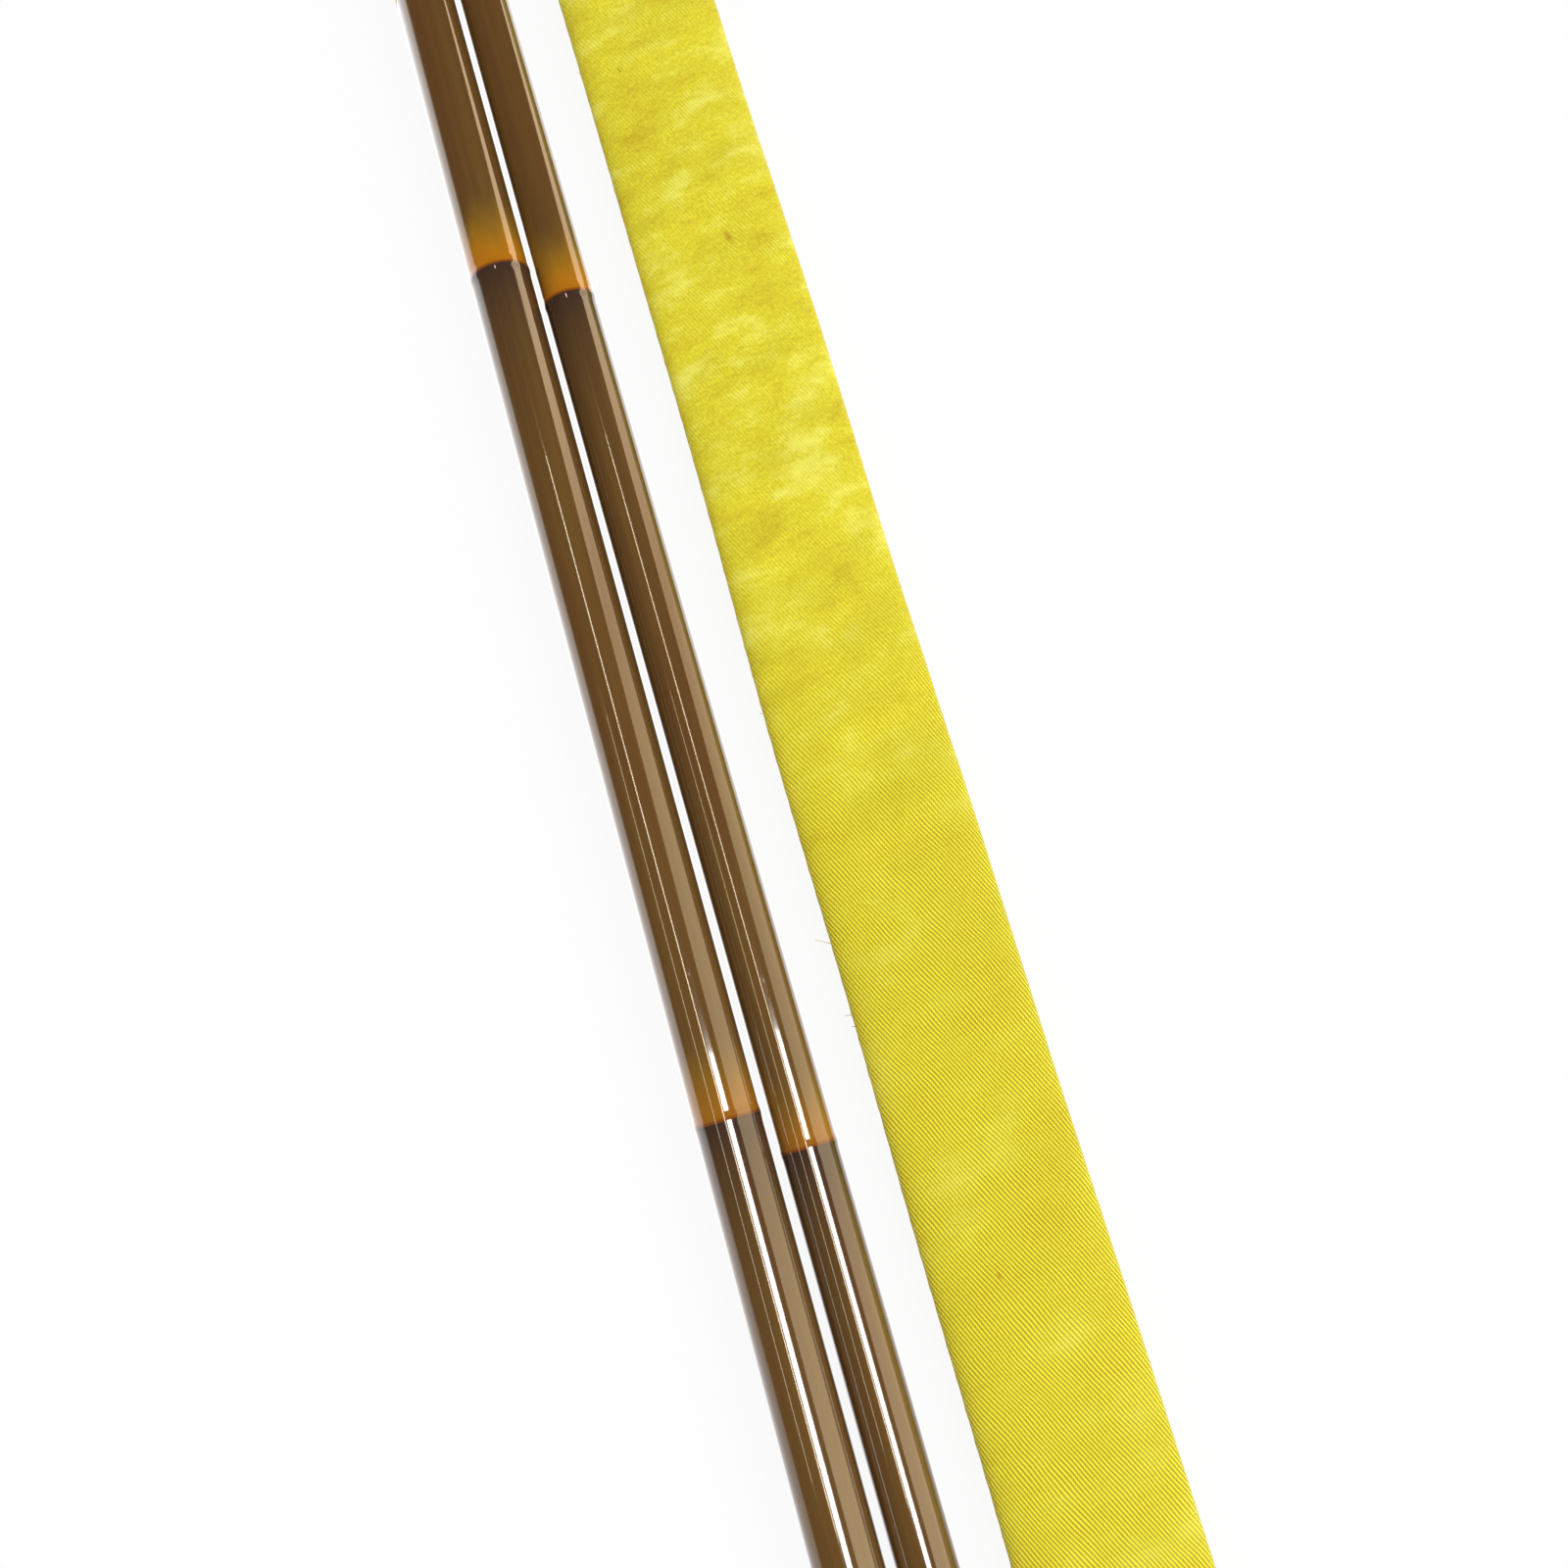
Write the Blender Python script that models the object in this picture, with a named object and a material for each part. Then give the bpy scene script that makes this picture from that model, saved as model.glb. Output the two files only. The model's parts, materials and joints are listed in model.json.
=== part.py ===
"""A five-section put-over pole rod for crucian carp, stowed as two tubes, with its cloth sleeve beside it.

The butt tube holds the third section and the tip, and the fourth tube holds the second section.
Metres, +Z up. Every tube runs along Y with its butt end at -Y and its mouth at +Y, lying on z = 0.
The origin is the middle of the whole set's base.
"""

from math import atan, cos, copysign, pi, sin

import bmesh
import bpy
from mathutils import Euler, Vector

# Clearances that the pieces share
FIT_GAP = 0.0003
SPIGOT_CLEARANCE = 0.00005
DRAW_CLEARANCE = 0.0003
END_PLAY = 0.008
TUBE_GAP = 0.0003

# Facets round a turned piece
TUBE_SIDES = 32
PIECE_SIDES = 24
TIP_SIDES = 12

# The two tubes that show, and how far apart their nodes are
TUBE_LENGTH = 1.225
NODE_SPACING = 0.1925
NODE_RISE = 0.00012
NODE_HALF_LENGTH = 0.0012
BUTT_TOP_NODE = 0.126
FOURTH_TOP_NODE = 0.1357

# Butt section
BUTT_RADIUS = 0.00766
BUTT_MOUTH_RADIUS = 0.00668
BUTT_WALL = 0.0010

# Sections above the butt: each one's taper over its body, wall and spigot length
FOURTH_TAPER = 0.00094
FOURTH_WALL = 0.00085
FOURTH_SPIGOT_LENGTH = 0.068
THIRD_TAPER = 0.00122
THIRD_WALL = 0.00075
THIRD_SPIGOT_LENGTH = 0.060
THIRD_NODE_OFFSET = 0.118
SECOND_RADIUS = 0.0040
SECOND_TAPER = 0.00157
SECOND_WALL = 0.00055
SECOND_SPIGOT_LENGTH = 0.050
SECOND_NODE_OFFSET = 0.124
TIP_RADIUS = 0.00235
TIP_END_RADIUS = 0.00045
TIP_SPIGOT_LENGTH = 0.040
TIP_GUARD = 0.015
SHOULDER_LENGTH = 0.006

# Thread bindings under lacquer
SEAT_DEPTH = 0.00045
SEATED_STAND = 0.00015
PROUD_WALL = 0.00025
MOUTH_WRAP_LENGTH = 0.052
SHOULDER_WRAP_LENGTH = 0.026
THIRD_WRAP_LENGTH = 0.034
SECOND_WRAP_LENGTH = 0.026
BAND_LENGTH = 0.0018
WHIPPING_LENGTH = 0.012
WHIPPING_WALL = 0.00025

# Grip over the butt: a foam core under a wound cord
GRIP_LENGTH = 0.312
GRIP_PALM_AT = 0.060
GRIP_WAIST_AT = 0.190
CORE_WALL_REAR = 0.0007
CORE_WALL_PALM = 0.0012
CORE_WALL_WAIST = 0.0007
CORE_WALL_FRONT = 0.0005
WINDING_THICKNESS = 0.0010
WINDING_EDGE = 0.0016
COLLAR_LENGTH = 0.0045
COLLAR_BEVEL = 0.0006

# Butt end
CAP_LENGTH = 0.013
CAP_EDGE = 0.0022
CAP_BOSS_LENGTH = 0.010
CUSHION_THICKNESS = 0.005

# Plugs in the two mouths
KNOB_LENGTH = 0.020
KNOB_EDGE = 0.0012
KNOB_NECK_DEPTH = 0.0007
STEM_LENGTH = 0.030
STEM_CHAMFER = 0.0010
TENON_RADIUS = 0.0026
TENON_LENGTH = 0.010
RING_AT = 0.014
RING_WIDTH = 0.0024
RING_GROOVE_DEPTH = 0.0015

# Cap over the fourth section's spigot
SPIGOT_CAP_WALL = 0.0011
SPIGOT_CAP_BASE = 0.0040
SPIGOT_PAD_THICKNESS = 0.0030

# Cloth sleeve, lying flat
BAG_SPARE_LENGTH = 0.1147
BAG_FOOT_WIDTH = 0.0465
BAG_MOUTH_WIDTH = 0.0338
BAG_HEIGHT = 0.0078
BAG_FOOT_HEIGHT = 0.0026
BAG_FOOT_SLOPE = 0.040
BAG_CLOTH = 0.0009
BAG_ROUNDNESS = 3.0
BAG_FLAT = 0.0004
BAG_GAP = 0.0049
BAG_SECTION_POINTS = 32
HEM_LENGTH = 0.018
HEM_STAND = 0.0003
TAB_WIDTH = 0.011
TAB_LENGTH = 0.024
TAB_THICKNESS = 0.0009
TAB_FROM_MOUTH = 0.075


def taper(start, end, start_radius, end_radius):
    """Radius at any station of a straight taper."""
    slope = (end_radius - start_radius) / (end - start)
    return lambda station: start_radius + slope * (station - start)


# Stations along the butt tube, from the flat end of its cap
BUTT_START = CAP_LENGTH + FIT_GAP
CAVITY_START = BUTT_START + CAP_BOSS_LENGTH + FIT_GAP + CUSHION_THICKNESS + FIT_GAP
REAR_COLLAR_START = BUTT_START
WINDING_START = REAR_COLLAR_START + COLLAR_LENGTH + FIT_GAP
WINDING_END = WINDING_START + GRIP_LENGTH
FRONT_COLLAR_START = WINDING_END + FIT_GAP
GRIP_END = FRONT_COLLAR_START + COLLAR_LENGTH
STEM_START = TUBE_LENGTH - STEM_LENGTH
CLOSED_LENGTH = TUBE_LENGTH + FIT_GAP + KNOB_LENGTH
BAG_LENGTH = CLOSED_LENGTH + BAG_SPARE_LENGTH

# Stations along the fourth tube, from the flat end of its spigot cap
FOURTH_START = SPIGOT_CAP_BASE + FIT_GAP + SPIGOT_PAD_THICKNESS + FIT_GAP
FOURTH_SHOULDER = FOURTH_START + FOURTH_SPIGOT_LENGTH
SPIGOT_CAP_LENGTH = FOURTH_SHOULDER - FIT_GAP

# Lengths of the sections inside, which lie between the cushion and the plug
THIRD_LENGTH = STEM_START - END_PLAY - CAVITY_START
SECOND_LENGTH = STEM_START - END_PLAY - FOURTH_START
TIP_LENGTH = THIRD_LENGTH - TIP_GUARD

# Radii that follow from what each section passes through or plugs into
BUTT_BORE = BUTT_MOUTH_RADIUS - BUTT_WALL
FOURTH_RADIUS = BUTT_MOUTH_RADIUS - SPIGOT_CLEARANCE
FOURTH_SPIGOT_RADIUS = BUTT_BORE - SPIGOT_CLEARANCE
FOURTH_MOUTH_RADIUS = FOURTH_RADIUS - FOURTH_TAPER
FOURTH_BORE = FOURTH_MOUTH_RADIUS - FOURTH_WALL
THIRD_RADIUS = BUTT_BORE - DRAW_CLEARANCE
THIRD_SPIGOT_RADIUS = FOURTH_BORE - SPIGOT_CLEARANCE
THIRD_MOUTH_RADIUS = THIRD_RADIUS - THIRD_TAPER
THIRD_BORE = THIRD_MOUTH_RADIUS - THIRD_WALL
SECOND_SPIGOT_RADIUS = THIRD_BORE - SPIGOT_CLEARANCE
SECOND_MOUTH_RADIUS = SECOND_RADIUS - SECOND_TAPER
SECOND_BORE = SECOND_MOUTH_RADIUS - SECOND_WALL
TIP_SPIGOT_RADIUS = SECOND_BORE - SPIGOT_CLEARANCE
butt_radius = taper(BUTT_START, TUBE_LENGTH, BUTT_RADIUS, BUTT_MOUTH_RADIUS)


def core_radius(station, wall):
    return butt_radius(station) + FIT_GAP + wall


def grip_radius(station, wall):
    return core_radius(station, wall) + FIT_GAP + WINDING_THICKNESS


def material(name, colour, roughness, metallic=0.0):
    """A Principled finish, made once for each name."""
    finish = bpy.data.materials.get(name)
    if finish is None:
        finish = bpy.data.materials.new(name)
        finish.use_nodes = True
        shader = finish.node_tree.nodes["Principled BSDF"]
        shader.inputs["Base Color"].default_value = (*colour, 1.0)
        shader.inputs["Roughness"].default_value = roughness
        shader.inputs["Metallic"].default_value = metallic
    return finish


def bamboo_lacquer():
    return material("bamboo_lacquer", (0.16, 0.075, 0.022), 0.12)


def dark_lacquer():
    return material("dark_lacquer", (0.035, 0.012, 0.010), 0.15)


def gold_lacquer():
    return material("gold_lacquer", (0.62, 0.42, 0.13), 0.25, 0.8)


def grip_cord():
    return material("grip_cord", (0.045, 0.040, 0.036), 0.75)


def grip_foam():
    return material("grip_foam", (0.08, 0.08, 0.08), 0.9)


def soft_rubber():
    return material("soft_rubber", (0.03, 0.03, 0.03), 0.7)


def plug_wood():
    return material("plug_wood", (0.42, 0.27, 0.13), 0.55)


def yellow_twill():
    return material("yellow_twill", (0.78, 0.66, 0.035), 0.85)


def tab_leather():
    return material("tab_leather", (0.22, 0.11, 0.05), 0.6)


def add_empty(name, parent, location=(0, 0, 0), rotation=(0, 0, 0)):
    """A frame that the pieces of one assembly stand in."""
    empty = bpy.data.objects.new(name, None)
    empty.parent = parent
    empty.location = location
    empty.rotation_euler = rotation
    bpy.context.collection.objects.link(empty)
    return empty


def add_mesh(name, bm, parent, finish, sharp=0.6):
    """Puts a finished mesh in the scene as one named piece."""
    bmesh.ops.recalc_face_normals(bm, faces=bm.faces)
    mesh = bpy.data.meshes.new(name)
    bm.to_mesh(mesh)
    bm.free()
    mesh.shade_smooth()
    mesh.set_sharp_from_angle(angle=sharp)
    mesh.materials.append(finish)
    piece = bpy.data.objects.new(name, mesh)
    piece.parent = parent
    bpy.context.collection.objects.link(piece)
    return piece


def turned(name, profile, parent, finish, sides=PIECE_SIDES):
    """Turns a profile of (station, radius) round the Y axis. A profile with no point on the axis is a ring."""
    bm = bmesh.new()
    points = [bm.verts.new((0, station, -radius)) for station, radius in profile]
    edges = [bm.edges.new(pair) for pair in zip(points, points[1:])]
    if min(radius for _, radius in profile) > 0:
        edges.append(bm.edges.new((points[-1], points[0])))
    bmesh.ops.spin(
        bm, geom=points + edges, cent=(0, 0, 0), axis=(0, 1, 0), angle=2 * pi, steps=sides, use_merge=True
    )
    bmesh.ops.remove_doubles(bm, verts=bm.verts, dist=1e-6)
    return add_mesh(name, bm, parent, finish)


def sleeve(start, end, inner, outer, bevel=0.0):
    """A plain ring profile, with both outer edges bevelled. inner and outer are radii at a station."""
    profile = [(start, inner(start)), (end, inner(end)), (end, outer(end) - bevel)]
    if bevel:
        profile += [(end - bevel, outer(end)), (start + bevel, outer(start))]
    profile.append((start, outer(start) - bevel))
    return profile


def level(radius):
    return lambda station: radius


def node_stations(first, low, high):
    """Stations of the bamboo nodes from the first one down the tube, inside low and high."""
    stations = []
    station = first
    while station > low:
        if station < high:
            stations.append(station)
        station -= NODE_SPACING
    return sorted(stations)


def body_outline(start, end, radius, nodes):
    """The outside of a bamboo-shaped body, with a low ridge at each node."""
    outline = [(start, radius(start))]
    for node in nodes:
        outline.append((node - NODE_HALF_LENGTH, radius(node - NODE_HALF_LENGTH)))
        outline.append((node, radius(node) + NODE_RISE))
        outline.append((node + NODE_HALF_LENGTH, radius(node + NODE_HALF_LENGTH)))
    outline.append((end, radius(end)))
    return outline


def section_profile(start, end, shoulder, radius, nodes, wall, spigot_radius, mouth_seat, shoulder_seat, seat_depth):
    """A hollow section: spigot, shoulder, body with its nodes, mouth, and the bore back down."""
    body_start = shoulder + shoulder_seat
    body_end = end - mouth_seat
    outside = body_outline(body_start, body_end, radius, nodes)
    if shoulder_seat:
        seat_end = (body_start, radius(body_start) - seat_depth)
        outside = [(shoulder, radius(shoulder) - seat_depth), seat_end] + outside
    if mouth_seat:
        outside += [(body_end, radius(body_end) - seat_depth), (end, radius(end) - seat_depth)]
    inside = [(end, radius(end) - wall)]
    if spigot_radius:
        outside = [(start, spigot_radius), (shoulder, spigot_radius)] + outside
        bore_start = shoulder + SHOULDER_LENGTH
        inside += [(bore_start, radius(bore_start) - wall), (shoulder, spigot_radius - wall)]
        inside.append((start, spigot_radius - wall))
    else:
        inside.append((start, radius(start) - wall))
    return outside + inside


def resting_line(outline, balance):
    """The two outline points that a turned piece lies on, either side of its balance point."""
    behind = [point for point in outline if point[0] <= balance]
    ahead = [point for point in outline if point[0] > balance]
    best = None
    for rear in behind:
        for front in ahead:
            slope = (front[1] - rear[1]) / (front[0] - rear[0])
            reach = rear[1] + slope * (balance - rear[0])
            if best is None or reach > best[0]:
                best = (reach, rear, front)
    return best[1], best[2]


def lay_down(rear, front):
    """Tilt about X, and height of the axis at station 0, that put both outline points on z = 0."""
    tilt = atan((front[1] - rear[1]) / (front[0] - rear[0]))
    height = (rear[1] * cos(tilt)) - rear[0] * sin(tilt)
    return tilt, height


def lie_in_bore(length, rear_radius, front_radius, bore_rear, bore_front):
    """Place and tilt of a section lying on the bottom of the bore round it, from the section's rear end."""
    rear_height = rear_radius + DRAW_CLEARANCE - bore_rear
    front_height = front_radius + DRAW_CLEARANCE - bore_front
    return rear_height, atan((front_height - rear_height) / length)


def build_butt_section(parent):
    """The butt tube with its cap, cushion, grip and mouth binding."""
    seat_start = TUBE_LENGTH - MOUTH_WRAP_LENGTH
    nodes = node_stations(TUBE_LENGTH - BUTT_TOP_NODE, GRIP_END + NODE_HALF_LENGTH, seat_start - NODE_HALF_LENGTH)
    blank = section_profile(
        BUTT_START, TUBE_LENGTH, BUTT_START, butt_radius, nodes, BUTT_WALL, 0, MOUTH_WRAP_LENGTH, 0, SEAT_DEPTH
    )
    turned("butt_blank", blank, parent, bamboo_lacquer(), TUBE_SIDES)

    rear_radius = grip_radius(WINDING_START, CORE_WALL_REAR)
    boss_radius = butt_radius(BUTT_START) - BUTT_WALL - FIT_GAP
    cushion_start = BUTT_START + CAP_BOSS_LENGTH + FIT_GAP
    cap = [
        (0, 0),
        (0, rear_radius - CAP_EDGE),
        (CAP_EDGE * 0.3, rear_radius - CAP_EDGE * 0.3),
        (CAP_EDGE, rear_radius),
        (CAP_LENGTH, rear_radius),
        (CAP_LENGTH, boss_radius),
        (BUTT_START + CAP_BOSS_LENGTH, boss_radius),
        (BUTT_START + CAP_BOSS_LENGTH, 0),
    ]
    turned("butt_cap", cap, parent, dark_lacquer())
    cushion_radius = butt_radius(cushion_start + CUSHION_THICKNESS) - BUTT_WALL - FIT_GAP
    cushion = [
        (cushion_start, 0),
        (cushion_start, cushion_radius),
        (cushion_start + CUSHION_THICKNESS, cushion_radius),
        (cushion_start + CUSHION_THICKNESS, 0),
    ]
    turned("butt_cushion", cushion, parent, soft_rubber())

    build_grip(parent)
    build_mouth_binding("butt", parent, butt_radius, TUBE_LENGTH)
    return cap + [(GRIP_PALM_AT, grip_radius(GRIP_PALM_AT, CORE_WALL_PALM))]


def build_grip(parent):
    """A foam core that swells under the palm, a wound cord over it, and a collar at each end."""
    walls = (
        (WINDING_START, CORE_WALL_REAR),
        (GRIP_PALM_AT, CORE_WALL_PALM),
        (GRIP_WAIST_AT, CORE_WALL_WAIST),
        (WINDING_END, CORE_WALL_FRONT),
    )
    bed = [(station, butt_radius(station) + FIT_GAP) for station, _ in walls]
    core_top = [(station, core_radius(station, wall)) for station, wall in walls]
    turned("grip_core", bed + core_top[::-1], parent, grip_foam())

    winding_bed = [(station, radius + FIT_GAP) for station, radius in core_top]
    winding_top = [(station, grip_radius(station, wall)) for station, wall in walls]
    rear_edge = (WINDING_START, winding_top[0][1] - WINDING_THICKNESS * 0.5)
    rear_crown = (WINDING_START + WINDING_EDGE, winding_top[0][1])
    front_crown = (WINDING_END - WINDING_EDGE, winding_top[-1][1])
    front_edge = (WINDING_END, winding_top[-1][1] - WINDING_THICKNESS * 0.5)
    outside = [rear_edge, rear_crown] + winding_top[1:-1] + [front_crown, front_edge]
    turned("grip_winding", winding_bed + outside[::-1], parent, grip_cord())

    def collar(name, start, radius):
        end = start + COLLAR_LENGTH
        ring = sleeve(start, end, lambda s: butt_radius(s) + FIT_GAP, level(radius), COLLAR_BEVEL)
        turned(name, ring, parent, dark_lacquer())

    collar("grip_rear_collar", REAR_COLLAR_START, grip_radius(WINDING_START, CORE_WALL_REAR))
    collar("grip_front_collar", FRONT_COLLAR_START, grip_radius(WINDING_END, CORE_WALL_FRONT))


def build_mouth_binding(name, parent, radius, end):
    """A thread wrap sunk in its seat at a tube's mouth, between two narrow metallic bands."""
    start = end - MOUTH_WRAP_LENGTH
    inner = lambda s: radius(s) - SEAT_DEPTH + FIT_GAP
    outer = lambda s: radius(s) + SEATED_STAND
    rear_band_end = start + FIT_GAP + BAND_LENGTH
    front_band_start = end - BAND_LENGTH
    wrap = sleeve(rear_band_end + FIT_GAP, front_band_start - FIT_GAP, inner, outer)
    rear_band = sleeve(start + FIT_GAP, rear_band_end, inner, outer)
    front_band = sleeve(front_band_start, end, inner, outer)
    turned(name + "_mouth_wrap", wrap, parent, dark_lacquer())
    turned(name + "_rear_band", rear_band, parent, gold_lacquer())
    turned(name + "_front_band", front_band, parent, gold_lacquer())


def build_plug(name, parent, mouth, mouth_radius, bore):
    """A stopper: a knob outside the mouth, a stem in the bore and a soft ring that grips."""
    knob_start = mouth + FIT_GAP
    knob_end = knob_start + KNOB_LENGTH
    radius = mouth_radius + SEATED_STAND
    neck = knob_start + KNOB_LENGTH * 0.35
    socket = TENON_RADIUS + FIT_GAP
    knob = [
        (mouth + TENON_LENGTH + FIT_GAP, 0),
        (mouth + TENON_LENGTH + FIT_GAP, socket),
        (knob_start, socket),
        (knob_start, radius - KNOB_EDGE * 0.4),
        (knob_start + KNOB_EDGE * 0.4, radius),
        (neck - KNOB_EDGE, radius),
        (neck, radius - KNOB_NECK_DEPTH),
        (neck + KNOB_EDGE, radius),
        (knob_end - KNOB_EDGE, radius),
        (knob_end - KNOB_EDGE * 0.3, radius - KNOB_EDGE * 0.3),
        (knob_end, radius - KNOB_EDGE),
        (knob_end, 0),
    ]
    turned(name + "_plug_knob", knob, parent, dark_lacquer())

    stem_radius = bore - FIT_GAP
    start = mouth - STEM_LENGTH
    groove = mouth - RING_AT
    groove_radius = stem_radius - RING_GROOVE_DEPTH
    stem = [
        (start, 0),
        (start, stem_radius - STEM_CHAMFER),
        (start + STEM_CHAMFER, stem_radius),
        (groove - RING_WIDTH, stem_radius),
        (groove - RING_WIDTH, groove_radius),
        (groove, groove_radius),
        (groove, stem_radius),
        (mouth, stem_radius),
        (mouth, TENON_RADIUS),
        (mouth + TENON_LENGTH, TENON_RADIUS),
        (mouth + TENON_LENGTH, 0),
    ]
    turned(name + "_plug_stem", stem, parent, plug_wood())
    ring_start = groove - RING_WIDTH + FIT_GAP
    ring_end = groove - FIT_GAP
    ring_edge = (ring_end - ring_start) * 0.25
    ring = sleeve(ring_start, ring_end, level(groove_radius + FIT_GAP), level(stem_radius), ring_edge)
    turned(name + "_plug_ring", ring, parent, soft_rubber())
    return [(knob_start + KNOB_EDGE * 0.4, radius), (knob_end - KNOB_EDGE, radius)]


def build_fourth_section(parent):
    """The fourth tube: spigot, a binding above its shoulder, nodes and mouth binding."""
    shoulder = FOURTH_SHOULDER
    radius = taper(shoulder, TUBE_LENGTH, FOURTH_RADIUS, FOURTH_MOUTH_RADIUS)
    low = shoulder + SHOULDER_WRAP_LENGTH + NODE_HALF_LENGTH
    high = TUBE_LENGTH - MOUTH_WRAP_LENGTH - NODE_HALF_LENGTH
    nodes = node_stations(TUBE_LENGTH - FOURTH_TOP_NODE, low, high)
    blank = section_profile(
        FOURTH_START, TUBE_LENGTH, shoulder, radius, nodes, FOURTH_WALL, FOURTH_SPIGOT_RADIUS,
        MOUTH_WRAP_LENGTH, SHOULDER_WRAP_LENGTH, SEAT_DEPTH,
    )
    turned("fourth_blank", blank, parent, bamboo_lacquer(), TUBE_SIDES)
    wrap = sleeve(
        shoulder, shoulder + SHOULDER_WRAP_LENGTH - FIT_GAP,
        lambda s: radius(s) - SEAT_DEPTH + FIT_GAP, lambda s: radius(s) + SEATED_STAND,
    )
    turned("fourth_shoulder_wrap", wrap, parent, dark_lacquer())
    build_mouth_binding("fourth", parent, radius, TUBE_LENGTH)


def spigot_cap_radius():
    return FOURTH_SPIGOT_RADIUS + FIT_GAP + SPIGOT_CAP_WALL


def build_spigot_cap(parent):
    """A cup over the bare spigot, with a pad that the second section stands on."""
    radius = spigot_cap_radius()
    hollow = FOURTH_SPIGOT_RADIUS + FIT_GAP
    edge = SPIGOT_CAP_WALL * 0.5
    cup = [
        (0, 0),
        (0, radius - edge),
        (edge, radius),
        (SPIGOT_CAP_LENGTH - edge, radius),
        (SPIGOT_CAP_LENGTH, radius - edge),
        (SPIGOT_CAP_LENGTH, hollow),
        (SPIGOT_CAP_BASE, hollow),
        (SPIGOT_CAP_BASE, 0),
    ]
    turned("spigot_cap", cup, parent, dark_lacquer())
    pad_start = SPIGOT_CAP_BASE + FIT_GAP
    pad_radius = hollow - FIT_GAP
    pad = [
        (pad_start, 0),
        (pad_start, pad_radius),
        (pad_start + SPIGOT_PAD_THICKNESS, pad_radius),
        (pad_start + SPIGOT_PAD_THICKNESS, 0),
    ]
    turned("spigot_cap_pad", pad, parent, soft_rubber())
    return [(edge, radius), (SPIGOT_CAP_LENGTH - edge, radius)]


def build_inner_section(name, parent, length, spigot_length, spigot_radius, radii, wall, wrap_length, node_offset):
    """A section that travels inside a tube: spigot, body with nodes and a thread wrap round its mouth."""
    radius = taper(spigot_length, length, *radii)
    wrap_start = length - wrap_length
    low = spigot_length + NODE_HALF_LENGTH
    nodes = node_stations(length - node_offset, low, wrap_start - NODE_HALF_LENGTH)
    blank = section_profile(0, length, spigot_length, radius, nodes, wall, spigot_radius, 0, 0, 0)
    turned(name + "_blank", blank, parent, bamboo_lacquer())
    inner = lambda s: radius(s) + FIT_GAP
    outer = lambda s: radius(s) + FIT_GAP + PROUD_WALL
    turned(name + "_mouth_wrap", sleeve(wrap_start, length, inner, outer), parent, dark_lacquer())


def build_tip(parent):
    """The solid tip section, with the binding at its end that holds the line's thread."""
    radius = taper(TIP_SPIGOT_LENGTH, TIP_LENGTH, TIP_RADIUS, TIP_END_RADIUS)
    blank = [
        (0, 0),
        (0, TIP_SPIGOT_RADIUS),
        (TIP_SPIGOT_LENGTH, TIP_SPIGOT_RADIUS),
        (TIP_SPIGOT_LENGTH, radius(TIP_SPIGOT_LENGTH)),
        (TIP_LENGTH, radius(TIP_LENGTH)),
        (TIP_LENGTH, 0),
    ]
    turned("tip_blank", blank, parent, bamboo_lacquer(), TIP_SIDES)
    start = TIP_LENGTH - WHIPPING_LENGTH
    inner = radius(start) + FIT_GAP
    ring = sleeve(start, TIP_LENGTH, level(inner), level(inner + WHIPPING_WALL))
    turned("tip_whipping", ring, parent, dark_lacquer(), TIP_SIDES)


def build_inner_sections(butt_frame, fourth_frame):
    """The three sections stowed inside, each lying on the bottom of the bore round it."""
    wrap_stand = FIT_GAP + PROUD_WALL
    bore_rear = butt_radius(CAVITY_START) - BUTT_WALL
    bore_front = butt_radius(CAVITY_START + THIRD_LENGTH) - BUTT_WALL
    height, tilt = lie_in_bore(
        THIRD_LENGTH, THIRD_RADIUS, THIRD_MOUTH_RADIUS + wrap_stand, bore_rear, bore_front
    )
    third_frame = add_empty("third_frame", butt_frame, (0, CAVITY_START, height), (tilt, 0, 0))
    build_inner_section(
        "third", third_frame, THIRD_LENGTH, THIRD_SPIGOT_LENGTH, THIRD_SPIGOT_RADIUS,
        (THIRD_RADIUS, THIRD_MOUTH_RADIUS), THIRD_WALL, THIRD_WRAP_LENGTH, THIRD_NODE_OFFSET,
    )

    third_bore_rear = THIRD_SPIGOT_RADIUS - THIRD_WALL
    whipping_radius = TIP_END_RADIUS + FIT_GAP + WHIPPING_WALL
    height, tilt = lie_in_bore(TIP_LENGTH, TIP_RADIUS, whipping_radius, third_bore_rear, THIRD_BORE)
    tip_frame = add_empty("tip_frame", third_frame, (0, 0, height), (tilt, 0, 0))
    build_tip(tip_frame)

    fourth_bore_rear = FOURTH_SPIGOT_RADIUS - FOURTH_WALL
    height, tilt = lie_in_bore(
        SECOND_LENGTH, SECOND_RADIUS, SECOND_MOUTH_RADIUS + wrap_stand, fourth_bore_rear, FOURTH_BORE
    )
    second_frame = add_empty("second_frame", fourth_frame, (0, FOURTH_START, height), (tilt, 0, 0))
    build_inner_section(
        "second", second_frame, SECOND_LENGTH, SECOND_SPIGOT_LENGTH, SECOND_SPIGOT_RADIUS,
        (SECOND_RADIUS, SECOND_MOUTH_RADIUS), SECOND_WALL, SECOND_WRAP_LENGTH, SECOND_NODE_OFFSET,
    )


def flattened_section(width, height, lift=0.0):
    """A flattened round section that stands on z = lift, with a flat strip where it lies."""
    def part(turn):
        return copysign(abs(turn) ** (2 / BAG_ROUNDNESS), turn)

    points = []
    for index in range(BAG_SECTION_POINTS):
        angle = 2 * pi * index / BAG_SECTION_POINTS
        across = width / 2 * part(cos(angle))
        up = (height - BAG_FLAT) / 2 + (height + BAG_FLAT) / 2 * part(sin(angle))
        points.append((across, lift + max(up, 0.0)))
    return points


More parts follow.
